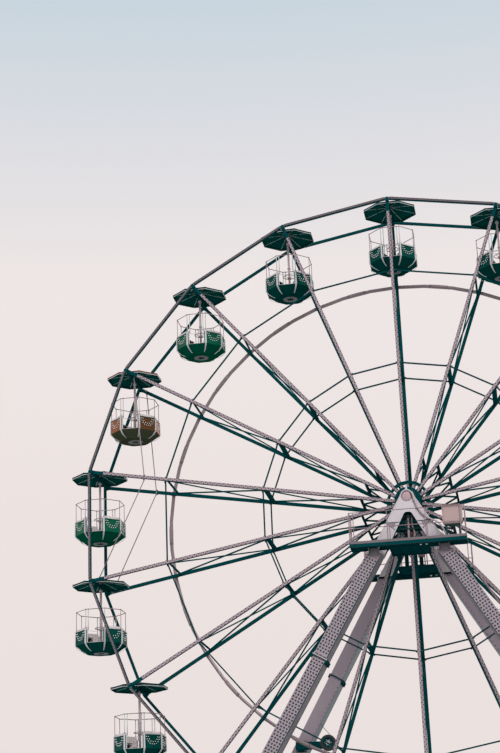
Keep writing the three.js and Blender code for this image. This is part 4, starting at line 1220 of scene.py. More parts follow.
class WHEEL_OT_heads(bpy.types.Operator):
    """Pale A-shaped head frames with folded edges, the bearing covers and the plant behind the front opening"""
    bl_idname = "wheel.heads"
    bl_label = "Head frames"

    def execute(self, context):
        w = wheel()
        h, d = w.height, 2.1497
        out = lambda v: w.leg_mid + 0.275 + w.slope * v
        inn = lambda v: w.leg_mid - 0.275 + w.slope * v
        crown = ringed(0.212, np.linspace(84, 12, 8), (0, 0, 0))[:, (0, 2)].tolist()
        gate = [(-inn(d), -d), (-0.185, -0.700), (-0.158, -0.650), (-0.120, -0.607), (-0.07, -0.582), (0.07, -0.582),
                (0.120, -0.607), (0.158, -0.650), (0.185, -0.700), (inn(d), -d)]
        line = [(-x, z) for x, z in crown[::-1]] + crown + [(out(d), -d)] + gate[::-1] + [(-out(d), -d)]
        for s, node in ((-1, "head_front"), (1, "head_back")):
            head = Piece(node + "_dressed", "base", "pale_panel")
            face, back = s * 1.948, s * 1.63
            self.shell(head, s, h, d, line, gate, face, back, inn)
            for q in SIDES:
                self.wing(head, s, q, h, d, face, inn, out)
            self.bearing(head, s, h, face, back)
            head.build(replaces=[node], bevel=0.005)
            self.plant(node, s, h)
        return {"FINISHED"}

    def shell(self, head, s, h, d, line, gate, face, back, inn):
        """Folded panel with a lip, the lining and back of its opening, pipes, and the bar across it."""
        shape = np.array([(x, h + z) for x, z in line])
        head.add(slab(shape, 1, face, back), "panel")
        head.add(sweep(rect(0.030, 0.022), np.insert(shape, 1, face, 1), (0, s, 0), True), "panel")
        mid = (face + back) / 2
        lining = np.array([(-inn(d) + 0.003, mid, h - d), *((x * 0.996, mid, h + z - 0.003) for x, z in gate[1:-1]),
                           (inn(d) - 0.003, mid, h - d)])
        head.add(sweep(rect(0.005, 0.314), lining, (0, s, 0)), "leg_dark")
        wide = 0.185 + GATE * 0.55
        shut = [(x, h + z) for x, z in gate[1:-1]] + [(wide, h - 1.25), (-wide, h - 1.25)]
        head.add(slab(shut, 1, back, back + s * 0.006), "tie")
        for x, radius in ((-0.02, 0.042), (0.11, 0.026)):
            way = [(x, back + s * 0.04, h - 0.66), (x, back + s * 0.04, h - 1.0), (x * 1.6, back + s * 0.05, h - 1.3),
                   (x * 1.6, back + s * 0.05, h - 1.86)]
            head.add(tube(way, radius, 8, Y), "pink", True)
        head.add(block((-0.15, back + s * 0.006, h - 1.12), (-0.07, back + s * 0.09, h - 0.84)), "leg_dark")
        bar = [(x, face + s * 0.006, h - 0.95) for x in (-0.84, 0.84)]
        head.add(beam(*bar, 0.022, 0.016, Y), "tie")

    def wing(self, head, s, q, h, d, face, inn, out):
        """One side of the head: stay with its dotted plate, rivets, foot plate with bolts and gussets, hatch."""
        slope, skin, front = (inn(d) - 0.185) / (d - 0.70), face + s * 0.006, face + s * 0.008
        foot = (q * (0.185 + slope * 0.52 + 0.02), skin, h - 1.22)
        head.add(beam((q * 0.80, skin, h - 0.95), foot, 0.016, 0.014, Y), "tie")
        plate = [(q * 0.46, h - 0.975), (q * 0.74, h - 0.975), (q * 0.52, h - 1.13)]
        head.add(slab(plate, 1, face, front), "board")
        dots = [(q * x, front, h + z) for x, z in ((0.50, -0.995), (0.57, -0.995), (0.64, -0.995), (0.51, -1.045),
                                                   (0.58, -1.035), (0.52, -1.09))]
        head.add(copies(lathe([(0.013, 0), (0.010, 0.006)], 6), dots, aim((0, s, 0))), "cup_dark")
        n = np.linspace(0.05, 0.97, 22)
        rows = [np.stack([q * (0.190 + (out(d) - 0.27) * n), 0 * n + face, h - 0.05 - (d - 0.09) * n], 1),
                np.stack([q * (0.25 + (inn(d) - 0.215) * n), 0 * n + face, h - 0.63 - (d - 0.65) * n], 1)]
        rivet = lathe([(0.009, 0), (0.007, 0.005), (0.002, 0.007)], 6)
        head.add(copies(rivet, np.concatenate(rows), aim((0, s, 0))), "panel", True)
        near, far = q * (inn(d) - 0.03), q * (out(d) + 0.03)
        foot = [(near, s * 1.63), (far, s * 1.63), (far, s * 2.568), (near, s * 2.568)]
        head.add(slab(foot, 2, h - d, h - d + 0.06), "panel")
        spots = [(q * (inn(d) + t), s * v, h - d + 0.06) for t in (0.03, 0.27, 0.51) for v in (2.05, 2.5)]
        head.bolts(spots, Z, 0.018, 0.026)
        for t in (0.10, 0.45):
            x = q * (inn(d) + t)
            web = [(s * 1.945, h - d + 0.05), (s * 2.30, h - d + 0.05), (s * 1.945, h - d + 0.40)]
            head.add(slab(web, 0, x - 0.008, x + 0.008), "panel")
        hatch = [(q * (inn(v) + t), h - v - 0.13) for v, t in ((1.75, 0.12), (1.75, 0.42), (1.45, 0.42), (1.45, 0.12))]
        head.add(slab(hatch, 1, face, skin), "panel")
        head.bolts([(x, skin, z) for x, z in hatch], (0, s, 0), 0.008, 0.006)

    def bearing(self, head, s, h, face, back):
        """Lug on the crown, the bearing's cover with a disc set a little low in it, its housing, and bars behind."""
        turn = lambda profile, sides, y, side, look, drop=0.0, closed=False: head.add(
            lathe(profile, sides, (0, y, h - drop), (0, side, 0), closed), look, look != "tie")
        lug = [(-0.045, h + 0.20), (0.045, h + 0.20), (0.020, h + 0.42), (-0.020, h + 0.42)]
        head.add(slab(lug, 1, s * 1.86, s * 1.885), "panel")
        ring = [(0.172, -0.01), (0.205, -0.01), (0.205, 0.008), (0.196, 0.018), (0.180, 0.018), (0.172, 0.010)]
        turn(ring, 40, face, s, "board", closed=True)
        # The dark ring inside the cover shows above the lowered disc as a painted shadow crescent.
        turn([(0.174, -0.02), (0.174, 0.003)], 40, face, s, "tie")
        turn([(0.160, 0), (0.160, 0.009), (0.150, 0.014), (0.05, 0.018), (0.015, 0.019)], 36, face, s, "pink", 0.013)
        head.bolts(ringed(0.188, np.arange(15, 375, 30), (0, face + s * 0.018, h)), (0, s, 0), 0.006, 0.007)
        housing = [(0.172, 0), (0.30, 0), (0.30, 0.03), (0.255, 0.04), (0.25, 0.075), (0.22, 0.085), (0.172, 0.085)]
        turn(housing, 36, back, -s, "leg_dark", closed=True)
        head.bolts(ringed(0.278, np.arange(0, 360, 45), (0, back - s * 0.03, h)), (0, -s, 0), 0.013, 0.016)
        for z in (-0.72, -1.16):
            x = 0.185 + GATE * (-z - 0.70)
            head.add(beam((-x, s * 1.70, h + z), (x, s * 1.70, h + z), 0.05, 0.05), "leg_dark")
        for q in SIDES:
            head.add(beam((q * 0.42, s * 1.70, h - 1.18), (q * 0.12, s * 1.70, h - 1.55), 0.035, 0.045, Y), "steel")

    def plant(self, node, s, h):
        """Boxes, barrels and pipes inside the head frame."""
        plant = Piece(f"plant_{node[5:]}", "base", "pale_panel")
        low, yc = h - 1.868, s * 1.40
        boxes = [(-0.26, 0.30, 0.15, 0.0, 0.05, "steel"), (-0.20, 0.02, 0.11, 0.05, 0.62, "steel"),
                 (0.10, 0.24, 0.06, 0.05, 0.36, "steel"), (-0.44, -0.30, 0.08, 0.0, 0.46, "steel")]
        boxes += [(-0.212, 0.032, 0.122, 0.10 + 0.055 * i, 0.115 + 0.055 * i, "leg_dark") for i in range(9)]
        for x0, x1, deep, z0, z1, look in boxes:
            plant.add(block((x0, yc - deep, low + z0), (x1, yc + deep, low + z1)), look)
        barrel = [(0.085, 0), (0.085, 0.30), (0.07, 0.32), (0.07, 0.40), (0.03, 0.42)]
        plant.add(lathe(barrel, 20, (-0.09, yc, low + 0.62)), "pink", True)
        drum = [(0.10, 0), (0.11, 0.02), (0.11, 0.26), (0.10, 0.28)]
        plant.add(lathe(drum, 20, (0.17, yc, low + 0.35)), "pink", True)
        for x, look in ((-0.09, "pink"), (0.17, "cable"), (0.05, "pink")):
            path = [(x, yc, low + 0.62), (x, yc, h - 1.0), (x * 0.7, yc + s * 0.10, h - 0.72),
                    (x * 0.6, s * 1.60, h - 0.62)]
            plant.add(tube(path, 0.018, 8, X), look, True)
        for x in (-0.37, 0.30, 0.38):
            path = [(x, yc, low), (x, yc, low + 0.42), (x * 0.8, yc, low + 0.56), (x * 0.55, yc, low + 0.62)]
            plant.add(tube(path, 0.020, 8, Y), "pink", True)
        plant.build(bevel=0.004)


class WHEEL_OT_galleries(bpy.types.Operator):
    """Service galleries in front and behind with tread plate, guard rails, toe boards and lamps, the cabinet and the
    cable, a thin dark line of painted shadow beside the conduit"""
    bl_idname = "wheel.galleries"
    bl_label = "Galleries"

    def execute(self, context):
        w = wheel()
        h = w.height
        low, top = h - 1.98, h - 1.87
        for s, node in ((-1, "gallery_front"), (1, "gallery_back")):
            deck = Piece(node + "_deck", "base", "deck_steel")
            self.deck(deck, s, low, top, w)
            for x, y in ((-1.05, 2.62), (0.42, 2.62), (0.62, 2.62)):
                at = (x, s * y, low + 0.055)
                deck.add(lathe([(0.05, 0), (0.05, 0.03), (0.042, 0.04)], 16, at, DOWN), "zinc", True)
                dome = [(0.04, 0.038), (0.036, 0.055), (0.02, 0.062), (0.006, 0.064)]
                deck.add(lathe(dome, 16, at, DOWN), "bulb", True)
            deck.build(replaces=[node], bevel=0.003)
        self.cabinet(top)
        dress(["service_cable"], "conduit")
        # A thin dark cable stands as the conduit's painted shadow line.
        self.cable(h, top)
        return {"FINISHED"}

    def deck(self, deck, s, low, top, w):
        """Tread plates on channels and bearers, feet on the head frame, brackets on the legs, and guard rails."""
        end, inner, near, step, far = 2.03, 0.7, 1.11, 2.2, 3.0
        plate, floor, toe = top - 0.012, low + 0.055, 0.015
        rows = [("tread", -end, end, step, far, plate, top), ("tread", -inner, inner, near, step, plate, top),
                ("steel", -end, end, far - toe, far, low, top - 0.010),
                ("toe", -end, end, far - 0.012, far, top - 0.010, top + 0.090),
                ("leg_dark", -end, end, 2.93, far - toe, low, low + 0.012)]
        for x in (-end, end - toe):
            rows += [("steel", x, x + toe, step, far - toe, low, top),
                     ("toe", x + 0.004, x + 0.011, step, far - toe, top, top + 0.09)]
        rows += [("steel", x0, x1, step, step + toe, low, top) for x0, x1 in ((toe - end, -inner), (inner, end - toe))]
        rows += [("steel", x, x + toe, near, step + toe, low, top) for x in (-inner, inner - toe)]
        rows += [("steel", -inner, inner, near, near + toe, low, top)]
        bearers = np.linspace(-1.75, 1.75, 8)
        rows += [("steel", x - 0.025, x + 0.025, step + toe, far - toe, low + 0.01, plate) for x in bearers]
        rows += [("steel", x - 0.02, x + 0.02, near + toe, step + toe, low + 0.02, plate) for x in (-0.35, 0.0, 0.35)]
        rows += [("steel", toe - end, end - toe, y - 0.03, y + 0.03, low - 0.004, low + 0.05) for y in (2.42, 2.78)]
        rows += [("steel", -1.98, 1.98, 2.22, 2.98, floor, low + 0.06),
                 ("steel", -0.68, 0.68, 1.13, 2.22, floor, low + 0.06)]
        put = lambda look, x0, x1, y0, y1, z0, z1: deck.add(block((x0, s * y0, z0), (x1, s * y1, z1)), look)
        for row in rows:
            put(*row)
        face = w.leg_face + w.rake * 2.4
        for q in SIDES:
            x = q * (w.leg_mid + w.slope * 2.15)
            put("leg_dark", x - 0.13, x + 0.13, 2.26, 2.51, w.height - 2.15 + 0.061, low + 0.004)
            put("dull", x - 0.19, x + 0.19, face + 0.0005, face + 0.020, low - 0.27, low + 0.004)
            web = [(s * (face + y), low + z) for y, z in ((0.014, -0.26), (0.24, -0.02), (0.24, 0.005), (0.014, 0.005))]
            for t in (-0.18, 0.165):
                deck.add(slab(web, 0, x + t, x + t + 0.015), "dull")
        corner, back, front = 2.012, s * 2.218, s * 2.985
        path = [(-corner, back), (-corner, front), (corner, front), (corner, back)]
        posts = [(x, front) for x in (-corner, -1.86, -0.677, 0.659, 1.86, corner)]
        posts += [(x, y) for x in (-corner, corner) for y in (back, s * 2.60)]
        rails(deck, path, (top + 1.116, top + 0.547), w.rail, posts, top)
        for x in (-0.66, 0.66):
            deck.add(tube([(x, s * step, top + 0.8), (x, s * 1.16, top + 0.8)], 0.013), "rail", True)
            for y in (step, 1.16):
                deck.add(rod((x, s * y, top), (x, s * y, top + 0.8), 0.013), "rail", True)

    def cable(self, h, top):
        """Thin dark cable beside the pale conduit down the right edge of the front head frame, held by clips; it stands
        as a painted shadow line along the conduit.
        """
        line = Piece("thin_cable", "base", "deck_steel")
        way = np.array([(0.118, 0, 0.10), (0.150, 0, 0.02), (0.215, 0, -0.20), (0.315, 0, -0.50), (0.440, 0, -0.715),
                        (0.610, 0, -0.895), (0.775, 0, -1.005), (0.945, -0.03, -1.10), (1.13, -0.13, -1.34),
                        (1.225, -0.24, -1.60), (1.245, -0.29, top + 0.005 - h)]) + (0, -1.972, h)
        line.add(tube(way, 0.009, 7, Y), "cable", True)
        for k in (2, 3, 5, 6):
            clip = way[k] + (0.035, -0.004, 0)
            line.add(block(clip - (0.075, 0.012, 0.012), clip + (0.065, 0.006, 0.012)), "zinc")
        line.build()

    def cabinet(self, top):
        """Round-cornered cabinet with a door, hinges, handle and rain hood on two posts, and three cables below it."""
        case = Piece("cabinet", "base", "pale_panel")
        z0, z1, x0, x1, y0, y1 = top + 0.49, top + 1.16, 1.24, 1.94, -2.94, -2.69
        skin = lambda grow, y, r, steps: np.insert(
            rounded(x0 - grow, x1 + grow, z0 - grow, z1 + grow, r, steps), 1, y, 1)
        shell = ((-0.03, y0), (-0.008, y0 + 0.006), (0, y0 + 0.03), (0, y1 - 0.02), (-0.01, y1))
        case.add(loft([skin(grow, y, 0.075, 6) for grow, y in shell]), "cabinet", True)
        door = ((-0.06, y0 + 0.004), (-0.06, y0 - 0.008), (-0.07, y0 - 0.012))
        case.add(loft([skin(grow, y, 0.04, 5) for grow, y in door]), "cabinet", True)
        for z in (z0 + 0.14, z1 - 0.14):
            case.add(lathe([(0.010, -0.045), (0.010, 0.045)], 10, (x0 + 0.052, y0 - 0.008, z)), "cabinet", True)
        case.add(block((x1 - 0.110, y0 - 0.022, z0 + 0.28), (x1 - 0.090, y0 - 0.010, z0 + 0.38)), "zinc")
        hood = [(y0 - 0.02, z1 + 0.003), (y0 - 0.02, z1 + 0.009), (y1, z1 + 0.016), (y1, z1 + 0.003)]
        case.add(slab(hood, 0, x0 + 0.06, x1 - 0.06), "cabinet")
        base = top + 0.0003
        for x in (1.37, 1.81):
            case.add(beam((x, -2.82, base), (x, -2.82, z0 + 0.01), 0.06, 0.06, Y, 0.008), "leg_dark")
            case.add(block((x - 0.06, -2.88, base), (x + 0.06, -2.76, top + 0.01)), "leg_dark")
        case.add(block((1.30, -2.86, z0 - 0.06), (1.88, -2.78, z0 - 0.005)), "leg_dark")
        for x in (1.45, 1.53, 1.61):
            path = [(x, -2.80, z0 + 0.01), (x, -2.80, z0 - 0.16), (x - 0.02, -2.76, z0 - 0.3),
                    (x - 0.03, -2.72, top + 0.02)]
            case.add(tube(path, 0.012, 8, X), "cable", True)
        case.build(replaces=["control_cabinet"])


def rounded(x0, x1, z0, z1, r, steps):
    """Rectangle with round corners: four quarter circles joined in order."""
    a = np.linspace(0, np.pi / 2, steps)
    out = []
    for cx, cz, start in ((x1 - r, z1 - r, 0), (x0 + r, z1 - r, 1), (x0 + r, z0 + r, 2), (x1 - r, z0 + r, 3)):
        out += list(zip(cx + r * np.cos(a + start * np.pi / 2), cz + r * np.sin(a + start * np.pi / 2)))
    return out


class WHEEL_OT_drive(bpy.types.Operator):
    """Drive tyre with its wheel, motor, gearbox and arm on the back left leg, and the ladder on the front right leg"""
    bl_idname = "wheel.drive"
    bl_label = "Drive and ladder"

    def execute(self, context):
        w = wheel()
        x, _, z = next(j for j in frame["joints"] if j["name"] == "drive_tyre_spin")["pos_m"]
        y0, y1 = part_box("drive_tyre")[0][1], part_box("drive_tyre")[1][1]
        self.tyre(x, z, (y0 + y1) / 2, (y1 - y0) / 2)
        self.unit(x, z, y0, y1, w)
        self.ladder(w)
        return {"FINISHED"}

    def tyre(self, x, z, mid, v):
        """Grooved tyre on a dished wheel with its nave and bolts; the section's lower half mirrors its upper half."""
        tyre = Piece("drive_tyre_wheel", "drive_tyre", "tyre")
        turn = lambda profile, sides, look: tyre.add(lathe(profile, sides, (x, mid, z), Y, True), look, True)
        mirror = lambda rows: rows + [(r, -y) for r, y in rows[::-1]]
        r, groove = 0.29, 0.282
        turn(mirror([(0.19, -v + 0.012), (0.215, -v), (0.262, -v + 0.002), (0.282, -v + 0.014), (r, -v + 0.034),
                     (r, -0.045), (groove, -0.042), (groove, -0.034), (r, -0.031), (r, -0.006), (groove, -0.004)]),
             56, "rubber")
        turn(mirror([(0.075, -0.03), (0.16, -0.018), (0.172, -v + 0.02), (0.198, -v + 0.012)]), 36, "steel")
        turn([(0.062, -v + 0.01), (0.088, -v + 0.01), (0.088, v - 0.01), (0.062, v - 0.01)], 24, "zinc")
        for s in SIDES:
            tyre.bolts(ringed(0.12, np.arange(0, 360, 60), (x, mid + s * 0.03, z)), (0, s, 0), 0.012, 0.014)
        tyre.build(replaces=["drive_tyre"])

    def unit(self, x, z, y0, y1, w):
        """Shaft, gearbox and finned motor behind the tyre, on an arm with four sprung rods, and the motor's cable."""
        drive = Piece("drive_unit_dressed", "base", "frame_steel")
        turn = lambda profile, sides, y, look: drive.add(lathe(profile, sides, (x, y, z), Y), look, True)
        lo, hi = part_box("drive_unit")
        near, mx = hi[1], lo[0] + 0.19
        start = y1 + 0.31
        length = near - 0.30 - start
        turn([(0.05, 0), (0.058, 0.01), (0.058, y1 - y0 + 0.06), (0.05, y1 - y0 + 0.07)], 20, y0 + 0.004, "zinc")
        turn([(0.20, 0), (0.205, 0.02), (0.205, 0.10), (0.19, 0.12), (0.16, 0.13), (0.16, 0.20), (0.18, 0.21),
              (0.18, 0.24)], 40, y1 + 0.07, "steel")
        turn([(0.15, 0), (0.15, length), (0.11, length + 0.015)], 32, start, "steel")
        a = np.arange(0, 360, 15)
        rib = block((-0.03, -length / 2 + 0.01, -0.004), (0.03, length / 2 - 0.01, 0.004))
        drive.add(copies(rib, ringed(0.158, a, (x, start + length / 2, z)), spin(a)), "steel")
        drive.bolts(ringed(0.185, np.arange(0, 360, 45), (x, y1 + 0.07, z)), (0, -1, 0), 0.010, 0.010, "zinc")
        for x0, x1, y, deep, low, high, look in (
                (mx - 0.15, x + 0.15, -0.33, 0.02, -0.13, 0.13, "steel"),
                (mx - 0.15, x + 0.15, -0.31, 0.16, -0.13, -0.11, "steel"),
                (mx - 0.15, x + 0.15, -0.31, 0.16, 0.11, 0.13, "steel"),
                (mx - 0.19, mx + 0.19, -0.16, 0.02, -0.19, 0.19, "steel"),
                (mx - 0.19, mx + 0.19, -0.02, 0.02, -0.19, 0.19, "leg_dark")):
            drive.add(block((x0, near + y, z + low), (x1, near + y + deep, z + high)), look)
        turns = np.linspace(0, 2 * np.pi * 5, 61)
        coil = np.stack([0.032 * np.cos(turns), 0.11 * turns / turns[-1] - 0.135, 0.032 * np.sin(turns)], 1)
        for i in (-0.15, 0.15):
            for j in (-0.15, 0.15):
                drive.add(rod((mx + i, near - 0.18, z + j), (mx + i, near, z + j), 0.016), "zinc", True)
                drive.add(tube(coil + (mx + i, near, z + j), 0.006, 6, Y), "zinc", True)
        drive.add(block((x - 0.07, start + 0.05, z + 0.15), (x + 0.07, start + 0.20, z + 0.23)), "dull")
        clip = on_leg(-1, 1, w.height - z - 0.96, -0.215, -w.leg_deep - 0.008)
        path = [(x + 0.02, start + 0.12, z + 0.23), (x + 0.01, start + 0.13, z + 0.36), clip + (0.03, -0.01, -0.12),
                clip]
        drive.add(tube(path, 0.010, 8, Y), "cable", True)
        drive.add(block(clip - (0.03, 0.012, 0.02), clip + (0.03, 0.007, 0.02)), "zinc")
        drive.build(replaces=["drive_unit"], bevel=0.003)

    def ladder(self, w):
        """Two stringers with rungs, and brackets that stand them off the leg."""
        ladder = Piece("ladder_dressed", "base", "leg_steel")
        d0, d1, off = 2.68, 14.88, 0.26
        at = lambda d, out, y: np.array((0.24 + w.slope * d + out, -(w.leg_face + w.rake * d) + y, w.height - d))
        for y in (0.06, 0.44):
            ladder.add(beam(at(d0, off, y), at(d1, off, y), 0.028, 0.05, Y, 0.004), "rail")
        for d in np.arange(d0 + 0.15, d1 - 0.1, 0.26):
            ladder.add(rod(at(d, off, 0.05), at(d, off, 0.45), 0.014, 6), "rail", True)
        for d in np.arange(d0 + 0.3, d1, 1.45):
            for y in (0.06, 0.38):
                ladder.add(beam(at(d, off, y), at(d, 0.0, y), 0.045, 0.010), "leg_dark")
                ladder.add(block(at(d, 0.001, y) - (0, 0.03, 0.06), at(d, 0.012, y) + (0.0, 0.03, 0.06)), "leg_dark")
        ladder.build(replaces=["ladder"])


class WHEEL_OT_base(bpy.types.Operator):
    """Base beams with stiffeners and jacks, and the two boarding decks with steps and rails"""
    bl_idname = "wheel.base"
    bl_label = "Base and decks"

    def execute(self, context):
        w = wheel()
        dress(["base_frame"], "leg")
        foot_x, foot_y = w.leg_mid + w.slope * w.height, w.leg_face + w.rake * w.height - 0.21
        self.beams(foot_x, foot_y)
        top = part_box("boarding_deck_front")[1][2] - 1.05
        outer = foot_y - 0.24 - 0.0003
        for s, node in ((-1, "boarding_deck_front"), (1, "boarding_deck_back")):
            deck = Piece(node + "_dressed", "base", "deck_steel")
            self.deck(deck, s, top, outer)
            for q in SIDES:
                self.steps(deck, s, q, top, outer)
            levels, front, back = (top + 1.03, top + 0.72, top + 0.40), s * 2.84, s * 1.31
            posts = [(x, front) for x in np.linspace(-2.55, 2.55, 6)]
            rails(deck, [(-2.58, front), (2.58, front)], levels, 0.02, posts, top)
            deck.add(block((-DECK, s * 2.852, top), (DECK, s * 2.858, top + 0.12)), "rail")
            for q in SIDES:
                posts = [(q * x, back) for x in (0.72, 1.65, 2.55)]
                rails(deck, [(q * 0.72, back), (q * 2.58, back)], levels, 0.02, posts, top)
            deck.build(replaces=[node])
        return {"FINISHED"}

    def beams(self, foot_x, foot_y):
        """Flange edges, stiffeners, anchor bolts, gussets and end plates on the beams of the base."""
        base = Piece("base_fittings", "base", "leg_steel")
        plate = lambda x0, x1, y0, y1, z0, z1: base.add(block((x0, y0, z0), (x1, y1, z1)), "leg")
        reach, cross = foot_x + 0.7, (-foot_x, -5.5, 5.5, foot_x)
        for s in SIDES:
            y = s * foot_y
            for z0, z1 in ((0.06, 0.072), (0.408, 0.42)):
                for q in SIDES:
                    plate(-reach, reach, y + q * 0.2405, y + q * 0.262, z0, z1)
            for x in np.arange(-reach + 0.35, reach, 0.78):
                if min(abs(x - t) for t in cross) >= 0.24:
                    for q in SIDES:
                        plate(x - 0.006, x + 0.006, y + q * 0.2405, y + q * 0.258, 0.075, 0.405)
            for x in cross:
                base.bolts(four((x, y, 0.0705), 0.37, 0.36), Z, 0.024, 0.04)
                for at in (x - 0.2, x + 0.2):
                    for q in (-1, 1):
                        web = [(y + q * 0.24, 0.07), (y + q * 0.40, 0.07), (y + q * 0.24, 0.30)]
                        base.add(slab(web, 0, at - 0.007, at + 0.007), "leg")
            for q in SIDES:
                plate(q * (reach - 0.002), q * (reach + 0.012), y - 0.23, y + 0.23, 0.07, 0.41)
        for x in cross:
            for q in SIDES:
                near = x + q * 0.1705
                for z in (0.36, 0.10):
                    plate(near, x + q * 0.19, -foot_y + 0.24, foot_y - 0.24, z, z + 0.02)
                for y in np.linspace(-2.5, 2.5, 7):
                    plate(near, x + q * 0.188, y - 0.006, y + 0.006, 0.12, 0.36)
        base.build()

    def deck(self, deck, s, top, outer):
        """Tread plates with joint strips on channels and bearers, a pale nosing, legs with pads and crossed stays."""
        put = lambda look, x0, x1, y0, y1, z0, z1: deck.add(block((x0, s * y0, top + z0), (x1, s * y1, top + z1)), look)
        put("tread_pale", -DECK, DECK, 1.29, 2.86, -0.02, 0)
        for x in np.linspace(-DECK, DECK, 5)[1:-1]:
            put("steel", x - 0.004, x + 0.004, 1.30, 2.85, 0, 0.003)
        for y in (1.29, 2.82):
            put("steel", -DECK, DECK, y, y + 0.04, -0.14, -0.02)
        for x in np.linspace(-2.58, 2.54, 8):
            put("steel", x, x + 0.04, 1.33, 2.82, -0.12, -0.02)
        put("white", -DECK, DECK, 1.282, 1.29, -0.15, 0.004)
        for x in (-DECK, -0.06, 2.48):
            for y in (1.35, outer - 0.12):
                put("steel", x, x + 0.12, y, y + 0.12, 0.012 - top, -0.12)
                put("zinc", x - 0.05, x + 0.17, y - 0.05, min(y + 0.17, outer), -top, 0.014 - top)
        low, high = 0.2, top - 0.2
        for q in SIDES:
            for y in (s * 1.40, s * (outer - 0.05)):
                for z0, z1 in ((low, high), (high, low)):
                    deck.add(beam((q * 2.5, y, z0), (q * 0.1, y, z1), 0.01, 0.05, Y), "steel")

    def steps(self, deck, s, q, top, outer):
        """One flight: treads with pale nosings between two stringers, each with a hand rail, a low rail and posts."""
        run, treads = 0.27, 9
        fall = top / (treads + 1)
        for i in range(treads):
            z, x0, x1 = top - fall * (i + 1), q * (DECK + run * i - 0.02), q * (DECK + run * (i + 1))
            deck.add(block((x0, s * 1.30, z - 0.03), (x1, s * (outer - 0.01), z)), "tread_pale")
            deck.add(block((x1, s * 1.30, z - 0.03), (x1 - q * 0.04, s * (outer - 0.01), z + 0.004)), "white")
        last, foot = q * (DECK + run * treads), q * (DECK + run * (treads - 0.4))
        for side in (1.29, outer - 0.03):
            line = [(q * DECK, top - 0.02), (last, fall * 0.98), (last, 0.0), (last - q * run, 0.0),
                    (q * DECK, top - 0.34)]
            deck.add(slab(line, 1, s * side, s * (side + 0.03)), "steel")
            y = s * (side + 0.015)
            hand = [(q * 2.62, y, top + 0.98), (foot, y, fall + 0.95), (foot + q * 0.08, y, fall + 0.90),
                    (foot + q * 0.10, y, fall + 0.78)]
            deck.add(tube(hand, 0.021, 8, Y), "rail", True)
            deck.add(tube([(q * 2.62, y, top + 0.50), (foot, y, fall + 0.46)], 0.016, 8, Y), "rail", True)
            for i in (0.3, 3.0, 5.8, 8.6):
                x, z = q * (DECK + run * i), top - fall * i
                deck.add(rod((x, y, z - 0.1), (x, y, z + 0.945 - 0.004 * i), 0.019), "rail", True)


# ---- Stage, camera and light ----

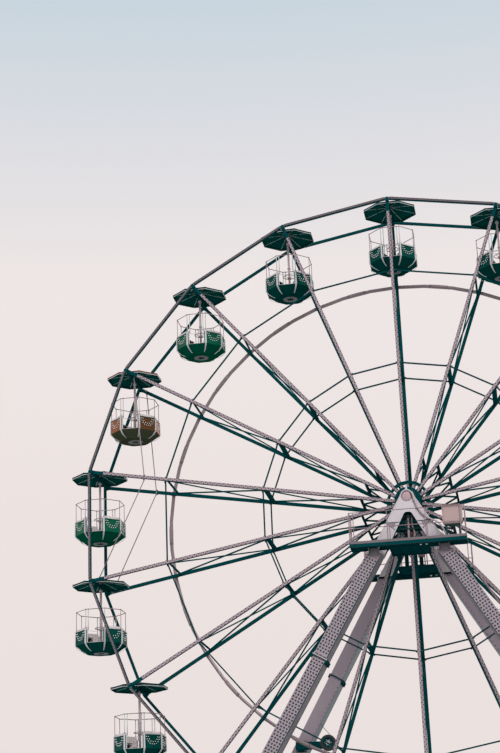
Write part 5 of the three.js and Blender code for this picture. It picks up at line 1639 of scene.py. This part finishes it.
class WHEEL_OT_stage(bpy.types.Operator):
    """Pale floor, soft sky and sun, and the camera of the picture"""
    bl_idname = "wheel.stage"
    bl_label = "Stage"

    def execute(self, context):
        scene = context.scene
        scene.view_settings.view_transform = "Standard"
        self.floor()
        self.sky(scene)
        for name, energy, colour, angle, turn in (("sun", 1.3, (1.0, 0.90, 0.86), 25, (52, 6, 28)),
                                                  ("fill", 0.5, (1.0, 0.86, 0.84), 60, (70, 0, -50))):
            light = bpy.data.lights.new(name, "SUN")
            light.energy, light.color, light.angle = energy, colour, math.radians(angle)
            lit = bpy.data.objects.new(name, light)
            lit.rotation_euler = [math.radians(v) for v in turn]
            context.collection.objects.link(lit)
        self.camera(scene)
        return {"FINISHED"}

    def floor(self):
        """Level sheet of concrete in an even grid, a little under the ground line."""
        cells, reach = 8, 260
        grid = np.linspace(-1, 1, cells + 1) * reach
        x, y = np.meshgrid(grid, grid)
        points = np.stack([x.ravel(), y.ravel(), 0 * x.ravel() - 0.002], 1)
        i, j = np.meshgrid(np.arange(cells), np.arange(cells), indexing="ij")
        at = lambda i, j: i * (cells + 1) + j
        quads = np.stack([at(i, j), at(i, j + 1), at(i + 1, j + 1), at(i + 1, j)], -1).reshape(-1, 4)
        mesh = bpy.data.meshes.new("floor")
        mesh.from_pydata(points.tolist(), [], quads.tolist())
        mesh.materials.append(finish("concrete"))
        floor = bpy.data.objects.new("floor", mesh)
        bpy.context.collection.objects.link(floor)

    def sky(self, scene):
        """Overcast sky: colours by height, the direction's Z halved and raised by a half."""
        world = bpy.data.worlds.new("sky")
        scene.world = world
        world.use_nodes = True
        tree = world.node_tree
        back = tree.nodes["Background"]
        place = tree.nodes.new("ShaderNodeTexCoord")
        split = tree.nodes.new("ShaderNodeSeparateXYZ")
        ramp = tree.nodes.new("ShaderNodeValToRGB")
        stops = ((0.0, (0.80, 0.77, 0.76)), (0.58, (0.83, 0.75, 0.735)), (0.69, (0.86, 0.795, 0.785)),
                 (0.725, (0.74, 0.735, 0.765)), (0.765, (0.58, 0.665, 0.73)), (1.0, (0.45, 0.57, 0.66)))
        while len(ramp.color_ramp.elements) < len(stops):
            ramp.color_ramp.elements.new(0.5)
        for element, (at, colour) in zip(ramp.color_ramp.elements, stops):
            element.position, element.color = at, (*colour, 1.0)
        half_up = tree.nodes.new("ShaderNodeMath")
        half_up.operation = "MULTIPLY_ADD"
        half_up.inputs[1].default_value = half_up.inputs[2].default_value = 0.5
        for source, target in ((place.outputs["Generated"], split.inputs[0]), (split.outputs["Z"], half_up.inputs[0]),
                               (half_up.outputs[0], ramp.inputs[0]), (ramp.outputs[0], back.inputs[0])):
            tree.links.new(source, target)
        back.inputs[1].default_value = 1.0

    def camera(self, scene):
        """Camera fitted to the picture: yaw and pitch give its direction, and roll turns it about that."""
        yaw, pitch, roll, focal, high = -0.1578, 0.3353, -0.0393, 1659.25, 753
        ahead = Vector((math.sin(yaw) * math.cos(pitch), math.cos(yaw) * math.cos(pitch), math.sin(pitch)))
        right = Vector((math.cos(yaw), -math.sin(yaw), 0))
        up = right.cross(ahead)
        right, up = math.cos(roll) * right + math.sin(roll) * up, math.cos(roll) * up - math.sin(roll) * right
        camera = bpy.data.cameras.new("camera")
        camera.sensor_width = 36.0
        camera.lens = focal / high * camera.sensor_width
        camera.clip_start, camera.clip_end = 0.5, 900.0
        seen = bpy.data.objects.new("camera", camera)
        seen.matrix_world = Matrix((right, up, -ahead)).transposed().to_4x4()
        seen.location = (3.6586, -59.2848, 0.97684)
        bpy.context.collection.objects.link(seen)
        scene.camera = seen


class WHEEL_PT_panel(bpy.types.Panel):
    """Lists the wheel's builders and its sizes"""
    bl_idname = "WHEEL_PT_panel"
    bl_label = "Ferris wheel"
    bl_space_type = "VIEW_3D"
    bl_region_type = "UI"
    bl_category = "Ferris wheel"

    def draw(self, context):
        for kind in OPERATORS:
            self.layout.operator(kind.bl_idname)
        for group in (context.scene.wheel_sizes, context.scene.cabin_sizes, context.scene.wheel_colours):
            for name in group.__annotations__:
                self.layout.prop(group, name)


OPERATORS = (WHEEL_OT_stage, WHEEL_OT_spokes, WHEEL_OT_rims, WHEEL_OT_hub, WHEEL_OT_cabins, WHEEL_OT_heads,
             WHEEL_OT_legs, WHEEL_OT_galleries, WHEEL_OT_drive, WHEEL_OT_base)
CLASSES = (WheelSizes, CabinSizes, WheelColours, *OPERATORS, WHEEL_PT_panel)


def register():
    for kind in CLASSES:
        bpy.utils.register_class(kind)
    bpy.types.Scene.wheel_sizes = PointerProperty(type=WheelSizes)
    bpy.types.Scene.cabin_sizes = PointerProperty(type=CabinSizes)
    bpy.types.Scene.wheel_colours = PointerProperty(type=WheelColours)


def unregister():
    del bpy.types.Scene.wheel_sizes, bpy.types.Scene.cabin_sizes, bpy.types.Scene.wheel_colours
    for kind in reversed(CLASSES):
        bpy.utils.unregister_class(kind)


def main():
    register()
    for kind in OPERATORS:
        area, name = kind.bl_idname.split(".")
        getattr(getattr(bpy.ops, area), name)()


if __name__ == "__main__":
    main()
